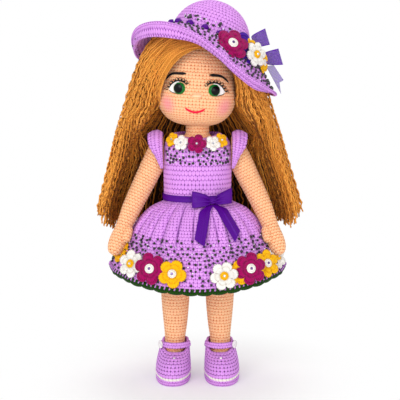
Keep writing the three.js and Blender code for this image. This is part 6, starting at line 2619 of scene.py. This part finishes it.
@dataclass
class Studio:
    """Camera, pale floor and soft light."""

    view: View = VIEW
    floor: float = 6.0
    fade: tuple[float, float] = (0.08, 0.21)
    world: float = 0.68
    world_seen: float = 0.32

    def camera(self) -> None:
        """Set the photograph's camera."""
        data = bpy.data.cameras.new("camera")
        data.lens, data.sensor_width = self.view.lens, 36.0
        data.clip_end = 50
        made = bpy.data.objects.new("camera", data)
        made.location = Vector(self.view.at) * MM
        made.rotation_euler = (math.radians(self.view.tilt), 0, 0)
        bpy.context.collection.objects.link(made)
        bpy.context.scene.camera = made
        bpy.context.scene.view_settings.view_transform = "Standard"

    def light(self) -> None:
        """Set the lamps and the even world."""
        for name, at, size, power, aim in LAMPS:
            data = bpy.data.lights.new(name, "AREA")
            data.shape, data.size, data.energy = "DISK", size, power
            made = bpy.data.objects.new(name, data)
            made.location = at
            made.rotation_euler = (Vector(aim) - Vector(at)).to_track_quat("-Z", "Y").to_euler()
            bpy.context.collection.objects.link(made)
        world = bpy.data.worlds.new("studio")
        bpy.context.scene.world = world
        world.use_nodes = True
        g = Graph(world.node_tree)
        shader = world.node_tree.nodes["Background"]
        shader.inputs["Color"].default_value = (1, 1, 1, 1)
        g.feed(
            shader.inputs["Strength"], g.math("MULTIPLY_ADD", g.seen(), self.world_seen, self.world)
        )

    def ground(self) -> None:
        """Lay the floor, which fades to white away from the doll."""
        bm = bmesh.new()
        bmesh.ops.create_grid(bm, x_segments=4, y_segments=4, size=self.floor)
        made = object_of("floor", mesh_of("floor", bm))
        surface = bpy.data.materials.new("floor")
        surface.use_nodes = True
        g = Graph(surface.node_tree)
        nodes = surface.node_tree.nodes
        shader = nodes["Principled BSDF"]
        set_shader(shader, Roughness=1.0, Specular_IOR_Level=0.0)
        grain = g.noise(g.place(), 60.0)
        g.feed(shader.inputs["Base Color"], g.blend(grain, paint("#fafafa"), paint("#fdfdfd")))
        glow = g.node("Emission", {"Color": (1, 1, 1, 1), "Strength": 1.0})
        far = g.ramp(g.apart((0, 0, 0)), *self.fade, 0.28, 1.0)
        share = g.math("MULTIPLY", far, g.seen())
        both = g.node("MixShader", {0: share, 1: shader.outputs[0], 2: glow.outputs[0]})
        g.feed(nodes["Material Output"].inputs[0], both.outputs[0])
        made.data.materials.append(surface)

    def build(self) -> None:
        """Set up the studio."""
        self.camera()
        self.light()
        self.ground()


def main() -> None:
    """Build the studio and the doll in order."""
    logging.basicConfig(level=logging.INFO, format="%(message)s")
    Studio().build()
    Head().build()
    Torso().build()
    for side in Side:
        Arm(body=f"arm_{side.label}", side=side).build()
        Shoe(side=side).build()
    Dress().build()
    Hat().build()
    Hair().build()


if __name__ == "__main__":
    main()
